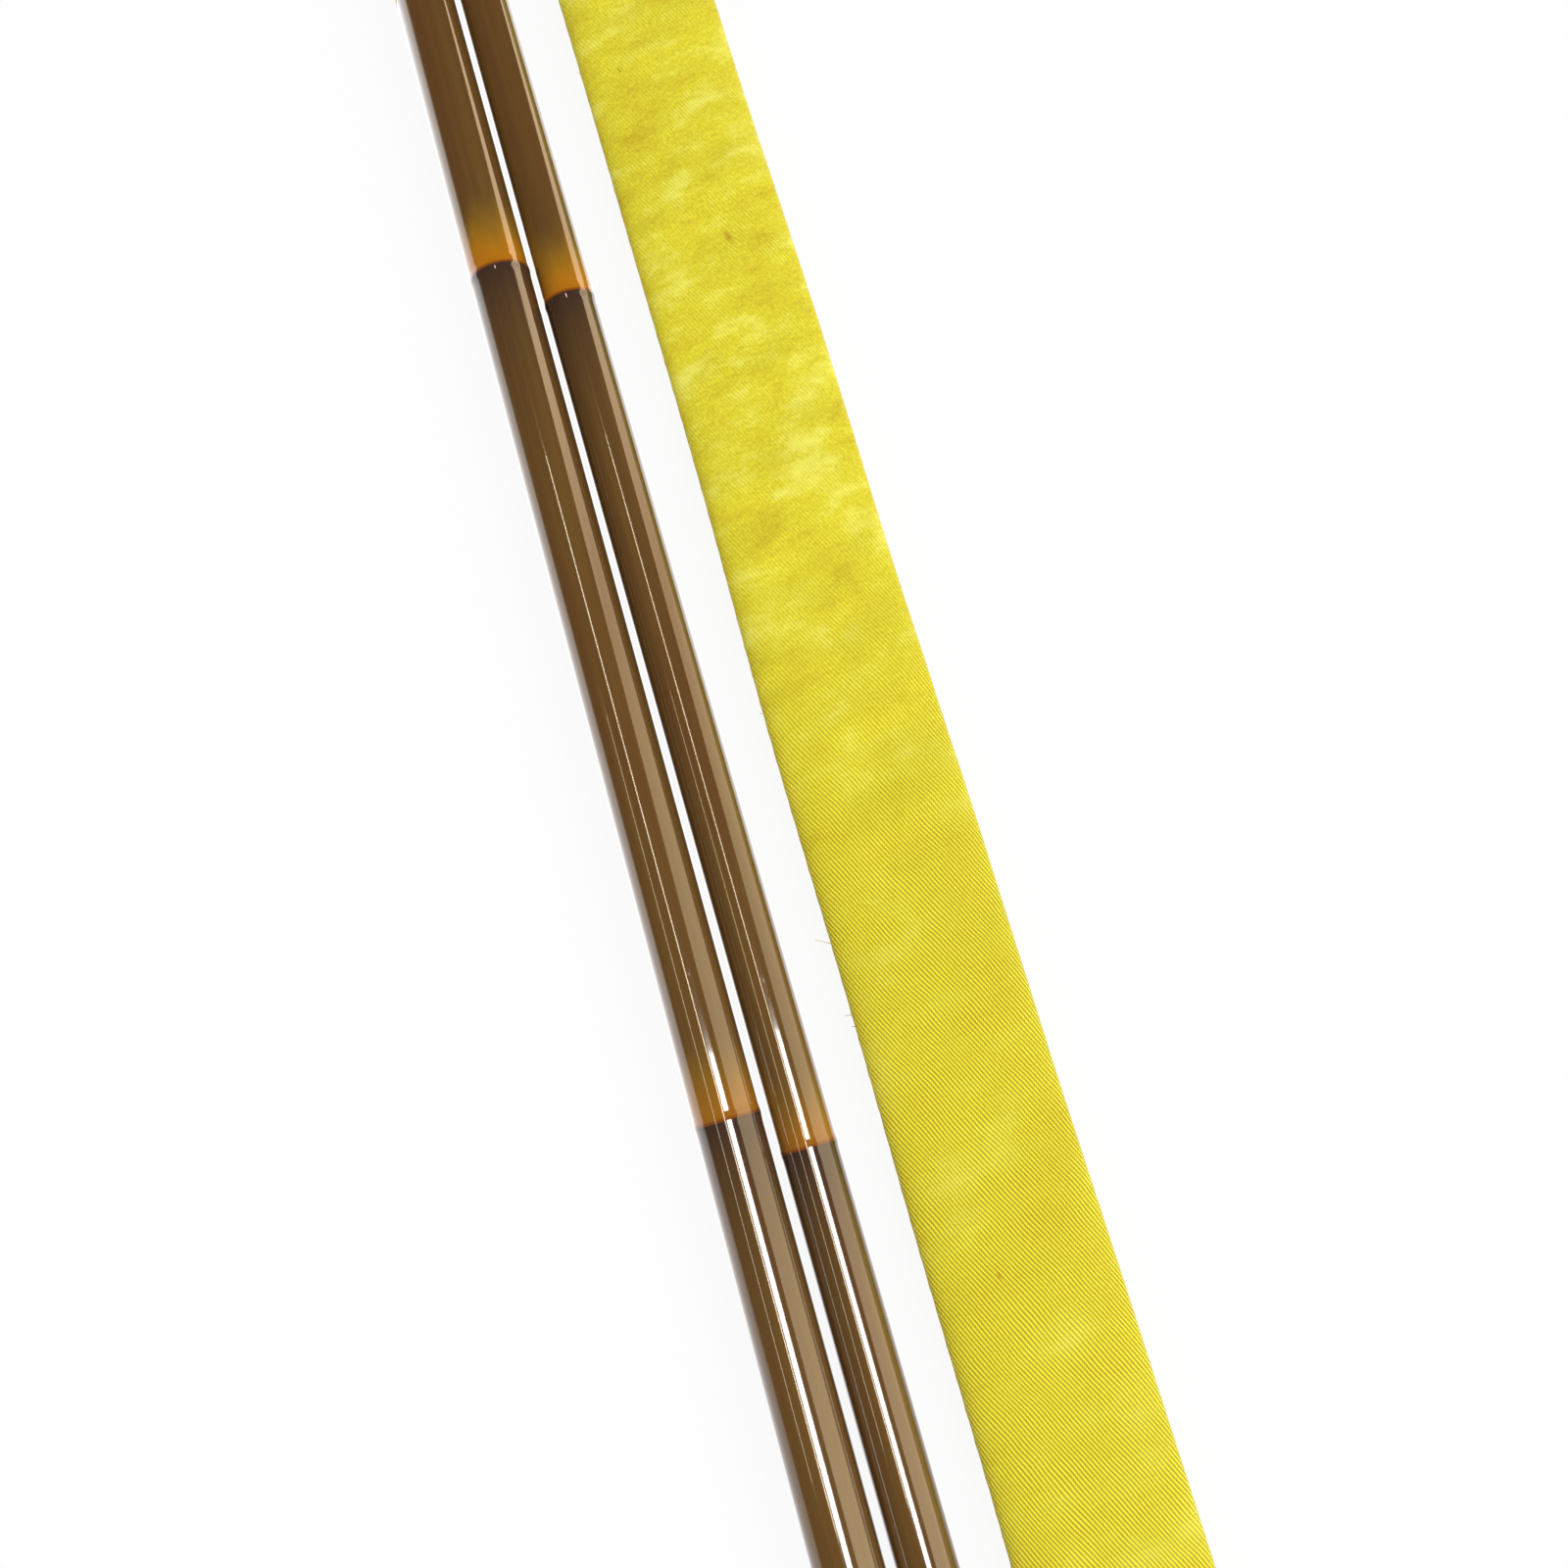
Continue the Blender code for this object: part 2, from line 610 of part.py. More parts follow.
def skin(name, sections, parent, finish, closed=False):
    """Joins a row of sections, each a station and its outline, and caps its ends unless the row closes on itself."""
    bm = bmesh.new()
    rings = [[bm.verts.new((x, station, z)) for x, z in outline] for station, outline in sections]
    followers = rings[1:] + rings[:1] if closed else rings[1:]
    for ring, following in zip(rings, followers):
        for index in range(len(ring)):
            after = (index + 1) % len(ring)
            bm.faces.new((ring[index], ring[after], following[after], following[index]))
    if not closed:
        bm.faces.new(rings[0])
        bm.faces.new(rings[-1])
    return add_mesh(name, bm, parent, finish)


def build_bag(parent):
    """The cloth sleeve lying flat: an open-mouthed body, a hem round its mouth and a tie tab."""
    width = taper(0, BAG_LENGTH, BAG_FOOT_WIDTH, BAG_MOUTH_WIDTH)
    hem_start = BAG_LENGTH - HEM_LENGTH
    mouth = hem_start - FIT_GAP
    inside_start = BAG_FOOT_SLOPE + BAG_CLOTH

    def outside(station, height):
        return station, flattened_section(width(station), height)

    def inside(station, cloth):
        return station, flattened_section(width(station) - 2 * cloth, BAG_HEIGHT - 2 * cloth, cloth)

    body = [
        outside(0, BAG_FOOT_HEIGHT),
        outside(BAG_FOOT_SLOPE * 0.4, (BAG_FOOT_HEIGHT + BAG_HEIGHT) / 2),
        outside(BAG_FOOT_SLOPE, BAG_HEIGHT),
        outside(mouth, BAG_HEIGHT),
        inside(mouth, BAG_CLOTH),
        inside(inside_start, BAG_CLOTH),
    ]
    skin("bag_sleeve", body, parent, yellow_twill())

    def hem_outside(station):
        return station, flattened_section(width(station) + 2 * HEM_STAND, BAG_HEIGHT + HEM_STAND)

    hem = [
        hem_outside(hem_start),
        hem_outside(BAG_LENGTH),
        inside(BAG_LENGTH, BAG_CLOTH),
        inside(hem_start, BAG_CLOTH),
    ]
    skin("bag_hem", hem, parent, yellow_twill(), closed=True)

    tab_bottom = BAG_HEIGHT + FIT_GAP
    tab_end = BAG_LENGTH - TAB_FROM_MOUTH
    half = TAB_WIDTH / 2
    bm = bmesh.new()
    corners = [(-half, tab_end - TAB_LENGTH), (half, tab_end - TAB_LENGTH), (half, tab_end), (-half, tab_end)]
    base = bm.faces.new([bm.verts.new((x, y, tab_bottom)) for x, y in corners])
    raised = bmesh.ops.extrude_face_region(bm, geom=[base])
    lifted = [item for item in raised["geom"] if isinstance(item, bmesh.types.BMVert)]
    bmesh.ops.translate(bm, verts=lifted, vec=(0, 0, TAB_THICKNESS))
    add_mesh("bag_tie_tab", bm, parent, tab_leather())


def clear_scene():
    for item in list(bpy.data.objects):
        bpy.data.objects.remove(item, do_unlink=True)


def centre_on_origin(root):
    """Moves the set so that the middle of its base is the origin."""
    bpy.context.view_layer.update()
    corners = [
        piece.matrix_world @ vertex.co
        for piece in bpy.data.objects if piece.type == "MESH"
        for vertex in piece.data.vertices
    ]
    low = Vector(min(corner[axis] for corner in corners) for axis in range(3))
    high = Vector(max(corner[axis] for corner in corners) for axis in range(3))
    root.location -= Vector(((low.x + high.x) / 2, (low.y + high.y) / 2, low.z))


def build():
    clear_scene()
    root = add_empty("rod_set", None)

    butt_frame = add_empty("butt_frame", root)
    butt_outline = build_butt_section(butt_frame)
    butt_outline += build_plug("butt", butt_frame, TUBE_LENGTH, BUTT_MOUTH_RADIUS, BUTT_BORE)
    rear, front = resting_line(butt_outline, TUBE_LENGTH / 2)
    tilt, height = lay_down(rear, front)
    butt_frame.location = (0, 0, height)
    butt_frame.rotation_euler = Euler((tilt, 0, 0))

    fourth_frame = add_empty("fourth_frame", root)
    build_fourth_section(fourth_frame)
    fourth_outline = build_spigot_cap(fourth_frame)
    fourth_outline += build_plug("fourth", fourth_frame, TUBE_LENGTH, FOURTH_MOUTH_RADIUS, FOURTH_BORE)
    rear, front = resting_line(fourth_outline, TUBE_LENGTH / 2)
    tilt, height = lay_down(rear, front)

    # The two tubes nearly touch at the grip's palm and at the knobs
    palm_radius = grip_radius(GRIP_PALM_AT, CORE_WALL_PALM)
    palm_spacing = palm_radius + TUBE_GAP + max(spigot_cap_radius(), FOURTH_RADIUS)
    knob_spacing = BUTT_MOUTH_RADIUS + FOURTH_MOUTH_RADIUS + 2 * SEATED_STAND + TUBE_GAP
    skew = atan((palm_spacing - knob_spacing) / (TUBE_LENGTH - GRIP_PALM_AT))
    rear_spacing = palm_spacing + (palm_spacing - knob_spacing) * GRIP_PALM_AT / (TUBE_LENGTH - GRIP_PALM_AT)
    fourth_frame.location = (rear_spacing, 0, height)
    fourth_frame.rotation_euler = Euler((tilt, 0, skew))

    build_inner_sections(butt_frame, fourth_frame)

    # The sleeve's left edge runs parallel to the butt tube
    bag_skew = atan((BAG_FOOT_WIDTH - BAG_MOUTH_WIDTH) / 2 / BAG_LENGTH)
    bag_edge = rear_spacing + spigot_cap_radius() + BAG_GAP
    bag_start = (CLOSED_LENGTH - BAG_LENGTH) / 2
    bag_frame = add_empty("bag_frame", root, (bag_edge + BAG_FOOT_WIDTH / 2, bag_start, 0), (0, 0, bag_skew))
    build_bag(bag_frame)

    centre_on_origin(root)


build()
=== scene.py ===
"""How a stowed pole rod and its cloth sleeve look: lacquer, bindings, wound grip, twill, studio.

Every size comes from the frame. Turned pieces are read from it as an axis and an outline, and are
turned again, finer. The sleeve is sewn over the space that its solid holds. Metres, +Z up, and the
rod runs along Y with its mouth at +Y.
"""

import json
import random
from math import cos, exp, floor, pi, radians, sin, sqrt

import bmesh
import bpy
import numpy as np
from bpy.props import FloatProperty, FloatVectorProperty, IntProperty, PointerProperty
from mathutils import Matrix, Vector


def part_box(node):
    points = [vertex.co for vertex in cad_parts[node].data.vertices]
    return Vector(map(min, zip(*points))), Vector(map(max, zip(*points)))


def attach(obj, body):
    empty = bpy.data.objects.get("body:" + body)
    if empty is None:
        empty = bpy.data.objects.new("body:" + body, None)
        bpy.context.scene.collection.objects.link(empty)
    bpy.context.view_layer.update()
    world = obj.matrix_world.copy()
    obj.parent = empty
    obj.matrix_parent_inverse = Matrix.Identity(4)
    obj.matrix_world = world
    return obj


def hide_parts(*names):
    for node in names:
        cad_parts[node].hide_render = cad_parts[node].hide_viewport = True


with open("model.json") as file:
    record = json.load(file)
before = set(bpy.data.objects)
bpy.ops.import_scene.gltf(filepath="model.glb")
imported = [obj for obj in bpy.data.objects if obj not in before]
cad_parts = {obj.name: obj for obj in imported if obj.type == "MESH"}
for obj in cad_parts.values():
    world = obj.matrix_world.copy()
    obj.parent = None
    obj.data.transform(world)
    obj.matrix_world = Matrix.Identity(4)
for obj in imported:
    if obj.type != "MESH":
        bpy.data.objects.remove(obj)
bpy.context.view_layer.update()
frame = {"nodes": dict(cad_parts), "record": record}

bl_info = {
    "name": "Stowed pole rod",
    "version": (1, 0, 0),
    "blender": (4, 5, 0),
    "location": "View3D > Sidebar > Pole rod",
    "description": "Finishes a stowed pole rod and its cloth sleeve, and lights them for a picture",
    "category": "Object",
}

BODIES = frame["record"]["behaviour"]["bodies"]
BODY_OF = {node: body for body, members in BODIES.items() for node in members}
MM = 0.001
UP = Vector((0, 0, 1))


def paint(red, green, blue):
    """A colour given as a paint chart gives it, from 0 to 255, as the light that it reflects."""
    def light(part):
        part /= 255
        return part / 12.92 if part <= 0.04045 else ((part + 0.055) / 1.055) ** 2.4

    return (light(red), light(green), light(blue))


def shaded(colour, share):
    return tuple(part * share for part in colour)


DUST = paint(104, 98, 90)
FOAM = (paint(44, 44, 44), paint(84, 84, 84))
RUBBER = (paint(24, 24, 25), paint(52, 52, 52))
WOOD = (paint(150, 108, 62), paint(196, 156, 104))
NAP = paint(255, 252, 214)
# Sleeve mottle colours: random tone, and painted shade and light of creases and crinkles
DULL_CLOTH_AND_SHADE = paint(222, 192, 34)
PALE_CLOTH_AND_LIGHT = paint(255, 250, 112)
FLOOR_WHITE = (paint(243, 243, 243), paint(247, 247, 247))


def length_setting(name, default, description):
    return FloatProperty(name=name, description=description, default=default, min=0, precision=5,
                         unit="LENGTH")


def angle_setting(name, default, description):
    return FloatProperty(name=name, description=description, default=radians(default),
                         subtype="ANGLE")


def colour_setting(name, default, description):
    return FloatVectorProperty(name=name, description=description, default=paint(*default), size=3,
                               min=0, max=1, subtype="COLOR")


def count_setting(name, default, least, description):
    return IntProperty(name=name, description=description, default=default, min=least)


class LacquerSettings(bpy.types.PropertyGroup):
    sides: count_setting("Sides", 112, 12, "Facets round a turned piece")
    edge: length_setting("Edge", 0.00025, "How far the lacquer rounds a sharp edge")
    ridge_half: length_setting("Ridge half", 0.0017, "Half the length of a node's ridge")
    ridge_groove: length_setting("Ridge groove", 0.00003, "Depth of the groove above a ridge")
    brown: colour_setting("Brown", (100, 70, 35), "The blank between its nodes")
    brown_light: colour_setting("Light brown", (124, 92, 42), "Pale streaks along the blank")
    brown_dark: colour_setting("Dark brown", (63, 44, 37), "The blank just below a node")
    brown_red: colour_setting("Red brown", (104, 66, 34), "Warmer streaks along the blank")
    amber: colour_setting("Amber", (172, 126, 24), "The blank a little above a node")
    amber_red: colour_setting("Red amber", (188, 118, 18), "The blank right above a node")
    ring: colour_setting("Ring", (120, 54, 18), "The thin line at a node")
    spigot: colour_setting("Spigot", (44, 20, 16), "The spigot's lacquer")
    amber_length: length_setting("Amber length", 0.0102, "How far amber reaches above a node")
    dark_length: length_setting("Dark length", 0.015, "How far dark brown reaches below a node")
    binding: colour_setting("Binding", (52, 28, 20), "Lacquered thread of the bindings")
    cap: colour_setting("Cap", (92, 40, 22), "Brown lacquer of the caps, plugs and collars")
    thread: length_setting("Thread", 0.00024, "Pitch of the binding's thread")
    gilt: colour_setting("Gilt", (206, 172, 98), "The narrow bands beside a binding")


class GripSettings(bpy.types.PropertyGroup):
    pitch: length_setting("Cord pitch", 0.00135, "Distance between turns of the grip's cord")
    relief: length_setting("Relief", 0.00042, "How deep the grooves between turns are")
    samples: count_setting("Samples", 7, 4, "Rows of faces across one turn")
    sides: count_setting("Sides", 72, 12, "Facets round the grip")
    cord: colour_setting("Cord", (74, 66, 58), "The cord's strands")
    # Painted shade: the colour between the cord's strands and in the grooves between its turns
    cord_shade: colour_setting("Cord dark", (26, 23, 22), "Between the strands")


class SleeveSettings(bpy.types.PropertyGroup):
    across: count_setting("Across", 168, 24, "Faces round the sleeve")
    row: length_setting("Row", 0.0022, "Length of the cloth mesh's faces along the sleeve")
    cloth: length_setting("Cloth", 0.0009, "Thickness of the lined cloth")
    end_pitch: length_setting("Warp pitch", 0.00028, "Distance between warp yarns")
    pick_pitch: length_setting("Weft pitch", 0.00055, "Distance between weft yarns")
    rib: colour_setting("Rib", (255, 248, 58), "The twill's ribs")
    # The groove colour is painted shade between the twill's ribs
    groove: colour_setting("Groove", (184, 156, 3), "Between the twill's ribs")
    stain: colour_setting("Stain", (180, 122, 12), "Small brown marks")
    seam: length_setting("Seam", 0.008, "Cloth turned in at the long seam")
    hem_turn: length_setting("Hem turn", 0.018, "Cloth turned in at the mouth")
    leather: colour_setting("Leather", (124, 84, 52), "The tie tab's leather")
    sewing: colour_setting("Sewing thread", (232, 218, 92), "The sewing thread")


class StudioSettings(bpy.types.PropertyGroup):
    camera_at: FloatVectorProperty(name="Camera", description="Where the camera stands", size=3,
                                   subtype="XYZ", unit="LENGTH", default=(-0.0121, 0.289, 0.333))
    camera_roll: angle_setting("Roll", -16.02, "Turn of the camera about the vertical")
    camera_pitch: angle_setting("Pitch", 10.22, "Camera's tip towards the mouth end")
    camera_lean: angle_setting("Lean", 1.31, "Camera's lean to the side")
    lens: FloatProperty(name="Lens", description="Focal length in millimetres, on a 36 mm sensor",
                        default=36)
    floor: length_setting("Floor", 40.0, "Width of the floor")


def both(operation):
    """An operator of the class below, and its reflected form."""
    return (lambda value, other: value.maths(operation, value, other),
            lambda value, other: value.maths(operation, other, value))


class Value:
    """A number that varies over a surface, from a node's output. Sums on it add Math nodes."""

    def __init__(self, nodes, socket):
        self.nodes = nodes
        self.socket = socket

    def maths(self, operation, *values):
        return self.nodes.node("ShaderNodeMath", {"operation": operation}, dict(enumerate(values)))

    __add__, __radd__ = both("ADD")
    __sub__, __rsub__ = both("SUBTRACT")
    __mul__, __rmul__ = both("MULTIPLY")
    __truediv__, __rtruediv__ = both("DIVIDE")

    def floor(self):
        return self.maths("FLOOR", self)

    def wave(self):
        """A sine of it, between 0 and 1."""
        return self.maths("SINE", self) * 0.5 + 0.5

    def decay(self, reach):
        """One at zero, and falling away over a length."""
        return self.maths("EXPONENT", self * (-1 / reach))

    def step(self, low, high):
        """Zero at low, one at high, and smooth between them."""
        settings = {"interpolation_type": "SMOOTHSTEP", "clamp": True}
        inputs = {"Value": self, "From Min": low, "From Max": high}
        return self.nodes.node("ShaderNodeMapRange", settings, inputs)


class Nodes:
    """A tree of nodes while it is made, with short words for the usual ones."""

    def __init__(self, tree):
        self.tree = tree

    def node(self, kind, settings=None, inputs=None, output=0):
        """Adds one node: its settings first, then the values or links of its sockets."""
        made = self.tree.nodes.new(kind)
        for name, value in (settings or {}).items():
            setattr(made, name, value)
        for name, value in (inputs or {}).items():
            if isinstance(value, Value):
                self.tree.links.new(value.socket, made.inputs[name])
            else:
                made.inputs[name].default_value = value
        return Value(self, made.outputs[output])

    def outputs(self, kind, names, inputs=None):
        """Several outputs of one node."""
        made = self.node(kind, inputs=inputs).socket.node
        return [Value(self, made.outputs[name]) for name in names]

    def vectors(self, operation, *vectors, output="Vector"):
        settings = {"operation": operation}
        return self.node("ShaderNodeVectorMath", settings, dict(enumerate(vectors)), output)

    def parts(self, vector):
        return self.outputs("ShaderNodeSeparateXYZ", "XYZ", {0: vector})

    def joined(self, x, y):
        return self.node("ShaderNodeCombineXYZ", inputs={0: x, 1: y})

    def noise(self, vector, scale, detail=2.0, roughness=0.5):
        inputs = {"Vector": vector, "Scale": scale, "Detail": detail, "Roughness": roughness}
        return self.node("ShaderNodeTexNoise", inputs=inputs)

    def mix(self, share, low, high, blend="MIX"):
        """A colour between two others."""
        def colour(value):
            return value if isinstance(value, Value) else (*value, 1.0)

        settings = {"data_type": "RGBA", "blend_type": blend, "clamp_factor": True}
        inputs = {0: share, 6: colour(low), 7: colour(high)}
        return self.node("ShaderNodeMix", settings, inputs, output=2)

    def mix_shaders(self, share, low, high):
        return self.node("ShaderNodeMixShader", inputs={0: share, 1: low, 2: high})

    def show(self, shader, end):
        """Links a shader to the node that ends the tree."""
        self.tree.links.new(shader.socket, self.tree.nodes[end].inputs["Surface"])


class Finish(Nodes):
    """A procedural material while it is made, with its shader."""

    def __init__(self, name, **constants):
        self.material = bpy.data.materials.new(name)
        self.material.use_nodes = True
        super().__init__(self.material.node_tree)
        self.shader = self.tree.nodes["Principled BSDF"]
        for socket, value in constants.items():
            self.shader.inputs[socket.replace("_", " ")].default_value = value

    def number(self, name):
        """A number that the mesh carries."""
        return self.node("ShaderNodeAttribute", {"attribute_name": name}, output="Fac")

    def place(self, name):
        """A vector that the mesh carries."""
        return self.node("ShaderNodeAttribute", {"attribute_name": name}, output="Vector")

    def grained(self, across, along, detail=2.0, roughness=0.5):
        """Noise on a turned piece: so many spots to the metre across its grain and along it."""
        spots = self.vectors("MULTIPLY", self.place("grain"), (across, across, along))
        return self.noise(spots, 1.0, detail, roughness)

    def relief(self, height, depth, strength=1.0):
        """A normal from a height between 0 and 1 that stands for a depth in metres."""
        inputs = {"Height": height, "Distance": depth, "Strength": strength}
        return self.node("ShaderNodeBump", inputs=inputs)

    def feed(self, **sockets):
        """Links values to the shader's sockets, and gives back the material."""
        for name, value in sockets.items():
            self.tree.links.new(value.socket, self.shader.inputs[name.replace("_", " ")])
        return self.material


def bamboo_finish(look):
    """Clear lacquer on a bamboo look: streaks along it, amber above each node, dark below it."""
    made = Finish("bamboo_lacquer", Coat_Weight=1.0, Coat_Roughness=0.03)
    above = made.number("above_node")
    below = made.number("below_node")
    streaks = made.grained(420, 7, 3.0, 0.55)
    fibres = made.grained(2600, 30, 2.0, 0.6)
    uneven = made.grained(300, 70, 3.0)
    warmth = made.grained(230, 16)
    pale = (streaks * 1.4 - 0.35) + (fibres - 0.5) * 0.5
    colour = made.mix(pale, look.brown, look.brown_light)
    colour = made.mix(warmth.step(0.45, 0.7) * 0.55, colour, look.brown_red)
    colour = made.mix(below.decay(look.dark_length) * 0.95, colour, look.brown_dark)
    reach = above + (uneven - 0.5) * 0.009 + (streaks - 0.5) * 0.004
    amber = reach.step(look.amber_length * 1.8, 0.002) * (0.80 + fibres * 0.4)
    tawny = (reach + (fibres - 0.5) * 0.010).step(0.001, 0.013)
    tint = made.mix(tawny, look.amber_red, look.amber)
    colour = made.mix(amber * made.number("amber"), colour, tint)
    colour = made.mix(above.step(0.0009, 0.0002) * 0.8, colour, look.ring)
    colour = made.mix(made.number("spigot"), colour, look.spigot)
    specks = made.grained(900, 420, 4.0, 0.7)
    waves = made.grained(60, 9, 1.0)
    runs = made.grained(420, 330) * (above.decay(0.006) + below.decay(0.007))
    normal = made.relief(waves * 0.5 + specks * 0.02 + runs * 0.9, 0.000012)
    rough = 0.10 + specks.step(0.62, 0.75) * 0.2
    return made.feed(Base_Color=colour, Roughness=rough, Normal=normal)


def binding_finish(look):
    """Fine thread wound close under lacquer, with painted shade between turns and painted light on
    them.
    """
    made = Finish("lacquered_thread", Roughness=0.3, Coat_Weight=1.0, Coat_Roughness=0.05)
    along = made.parts(made.place("grain"))[2]
    thread = (along * (2 * pi / look.thread)).wave()
    tint = made.grained(300, 3000)
    # Lit and shaded copies of the binding colour: half of the mix follows the thread, as painted
    # shade between turns and painted light on them, and half is random tone.
    colour = made.mix(thread * 0.5 + tint * 0.5, shaded(look.binding, 0.45),
                      shaded(look.binding, 1.5))
    return made.feed(Base_Color=colour, Normal=made.relief(thread, 0.00004))


def dark_finish(look):
    """Dark brown lacquer, brushed on thick, over a turned piece."""
    made = Finish("dark_lacquer", Coat_Weight=1.0, Coat_Roughness=0.04)
    cloud = made.grained(240, 180, 3.0)
    specks = made.grained(1500, 1500, 3.0, 0.7)
    colour = made.mix(cloud * 1.6 - 0.3, shaded(look.cap, 0.4), look.cap)
    rough = 0.12 + specks.step(0.5, 0.8) * 0.1
    return made.feed(Base_Color=colour, Roughness=rough, Normal=made.relief(cloud, 0.00002))


def gilt_finish(look):
    """Metal powder under clear lacquer, a little worn."""
    made = Finish("gold_lacquer", Coat_Weight=0.8, Coat_Roughness=0.08)
    flakes = made.grained(5200, 5200, 2.0, 0.6)
    worn = made.grained(600, 600, 3.0).step(0.62, 0.75)
    colour = made.mix(flakes.step(0.3, 0.65), shaded(look.gilt, 0.55), look.gilt)
    colour = made.mix(worn * 0.6, colour, look.binding)
    return made.feed(Base_Color=colour, Metallic=0.9 - worn * 0.5, Roughness=0.26 + flakes * 0.2,
                     Normal=made.relief(flakes, 0.00002))


def cord_finish(look):
    """A fine twisted cord, sealed matt, with painted shade between strands and turns. Its strands
    cross the turn at a slant.
    """
    made = Finish("grip_cord", Specular_IOR_Level=0.35)
    along, turn, _ = made.parts(made.place("lay"))
    strand = (along * 3400 + turn * 58.0).wave()
    dust = made.grained(300, 120, 4.0)
    fuzz = made.grained(6000, 6000)
    # Painted shade between the strands, and nearly black in the grooves between the turns
    colour = made.mix(strand * 0.6 + fuzz * 0.5, look.cord_shade, look.cord)
    colour = made.mix(made.number("groove") * 0.85, colour, look.cord_shade)
    colour = made.mix(dust.step(0.5, 0.8) * 0.25, colour, DUST)
    normal = made.relief(strand * 0.8 + fuzz * 0.3, 0.00012)
    return made.feed(Base_Color=colour, Roughness=0.62 + fuzz * 0.2, Normal=normal)


def foam_finish():
    """Hard foam with fine closed cells."""
    made = Finish("grip_foam", Roughness=0.9)
    cells = made.noise(made.place("grain"), 2200)
    return made.feed(Base_Color=made.mix(cells, *FOAM), Normal=made.relief(cells, 0.0001))


def rubber_finish():
    """Matt black rubber with a fine bloom."""
    made = Finish("soft_rubber", Specular_IOR_Level=0.3)
    bloom = made.noise(made.place("grain"), 900, 4.0)
    return made.feed(Base_Color=made.mix(bloom, *RUBBER), Roughness=0.6 + bloom * 0.25,
                     Normal=made.relief(bloom, 0.00005))


def wood_finish():
    """Turned and oiled wood, with growth rings cut along the stem."""
    made = Finish("plug_wood", Coat_Weight=0.15, Coat_Roughness=0.3)
    warp = made.grained(200, 40, 3.0)
    side = made.parts(made.place("grain"))[0]
    rings = (side * 5200 + warp * 9.0).wave()
    pores = made.grained(5000, 350, 2.0, 0.6)
    colour = made.mix(rings * 0.7 + pores * 0.4, *WOOD)
    return made.feed(Base_Color=colour, Roughness=0.45 + pores * 0.2,
                     Normal=made.relief(pores, 0.00004))


# Brown marks on the sleeve: across from its middle and along from its foot, and how wide they are
STAINS = ((-0.0088, 1.1987, 0.0007), (0.0040, 1.1515, 0.0015), (-0.0049, 0.9200, 0.0008),
          (0.0110, 0.611, 0.0015), (-0.0120, 0.402, 0.0010), (0.0050, 0.255, 0.0018))
# Between these stations the cloth turns from fresh to handled, towards its mouth
HANDLED_FROM = 0.98
HANDLED_FULLY = 1.10
# How many times as long as wide a mark is, and how far it leans
MARK_NARROW = 2.1
MARK_LEAN = 0.5


def twill_finish(look):
    """Cotton drill: a warp yarn goes over two wefts and under one, a step after the yarn beside it.

    Near the mouth, where it is held, the cloth is mottled and its nap half hides the weave. Part of
    its mottle is painted shade and painted light of creases and crinkles.
    """
    made = Finish("yellow_twill", Roughness=0.85, Specular_IOR_Level=0.25, Sheen_Weight=0.85,
                  Sheen_Roughness=0.35, Sheen_Tint=(*NAP, 1.0))
    cloth = made.place("cloth")
    bend = made.noise(cloth, 55) - 0.5
    across, along, _ = made.parts(cloth)
    warp = (across + bend * 0.0012) / look.end_pitch
    weft = (along + bend * 0.0016) / look.pick_pitch
    yarn = warp.floor()
    inside = (warp - yarn) * 2 - 1
    over = ((weft + yarn * 0.3 + warp * 0.7) * (2 * pi / 3)).wave()
    fuzz = made.noise(cloth, 5200, 2.0, 0.6)
    slubs = made.noise(cloth, 1300, 3.0, 0.6)
    clouds = made.noise(cloth, 46, 4.0, 0.6)
    lying = made.joined(across * 75, along * 150 - across * 22)
    patches = made.noise(lying, 1.0, 5.0, 0.6)
    crumpled = made.joined(across * 500, along * 620 - across * 100)
    crinkle = made.noise(crumpled, 1.0, 4.0, 0.65)
    handled = along.step(HANDLED_FROM, HANDLED_FULLY)
    nap = handled * (0.66 + patches.step(0.35, 0.6) * 0.30)
    height = over * (1 - inside * inside * 0.16)
    blurred = height * (1 - nap) + nap * 0.5
    grain = (fuzz - 0.5) * 0.5 + (slubs - 0.5) * (0.25 + handled * 0.7)
    # The weave's ribs, with painted shade in the grooves between them
    colour = made.mix(blurred * 1.15 + grain, look.groove, look.rib)
    # Mottle, laid across like the creases: partly random tone and handled wear, partly painted
    # shade and light of the creases and crinkles
    tone_and_crease_shade = ((clouds - 0.5) * 0.9 + (patches - 0.5) * (0.6 + handled)
            + (crinkle - 0.5) * handled * 0.35)
    dull_and_crease_shade = tone_and_crease_shade.step(-0.05, 0.5) * (0.34 + handled * 0.26)
    colour = made.mix(dull_and_crease_shade, colour, DULL_CLOTH_AND_SHADE, "MULTIPLY")
    # Where the mottle is low the cloth turns paler: paler cloth, and painted light on the creases
    pale = (tone_and_crease_shade * -1.0).step(-0.02, 0.4) * (0.40 + handled * 0.3)
    colour = made.mix(pale, colour, PALE_CLOTH_AND_LIGHT)
    leaning = made.joined(across * MARK_NARROW + along * MARK_LEAN, along)
    for side, station, size in STAINS:
        middle = (side * MARK_NARROW + station * MARK_LEAN, station, 0.0)
        away = made.vectors("DISTANCE", leaning, middle, output="Value")
        spot = 1 - (away + (crinkle - 0.5) * size * 2.0).step(size * 0.3, size * 1.5)
        colour = made.mix(spot * 0.62, colour, look.stain)
    height = height * (1 - nap * 0.8) + fuzz * 0.25 + crinkle * handled * 0.7
    return made.feed(Base_Color=colour, Normal=made.relief(height, 0.00017, 0.8))


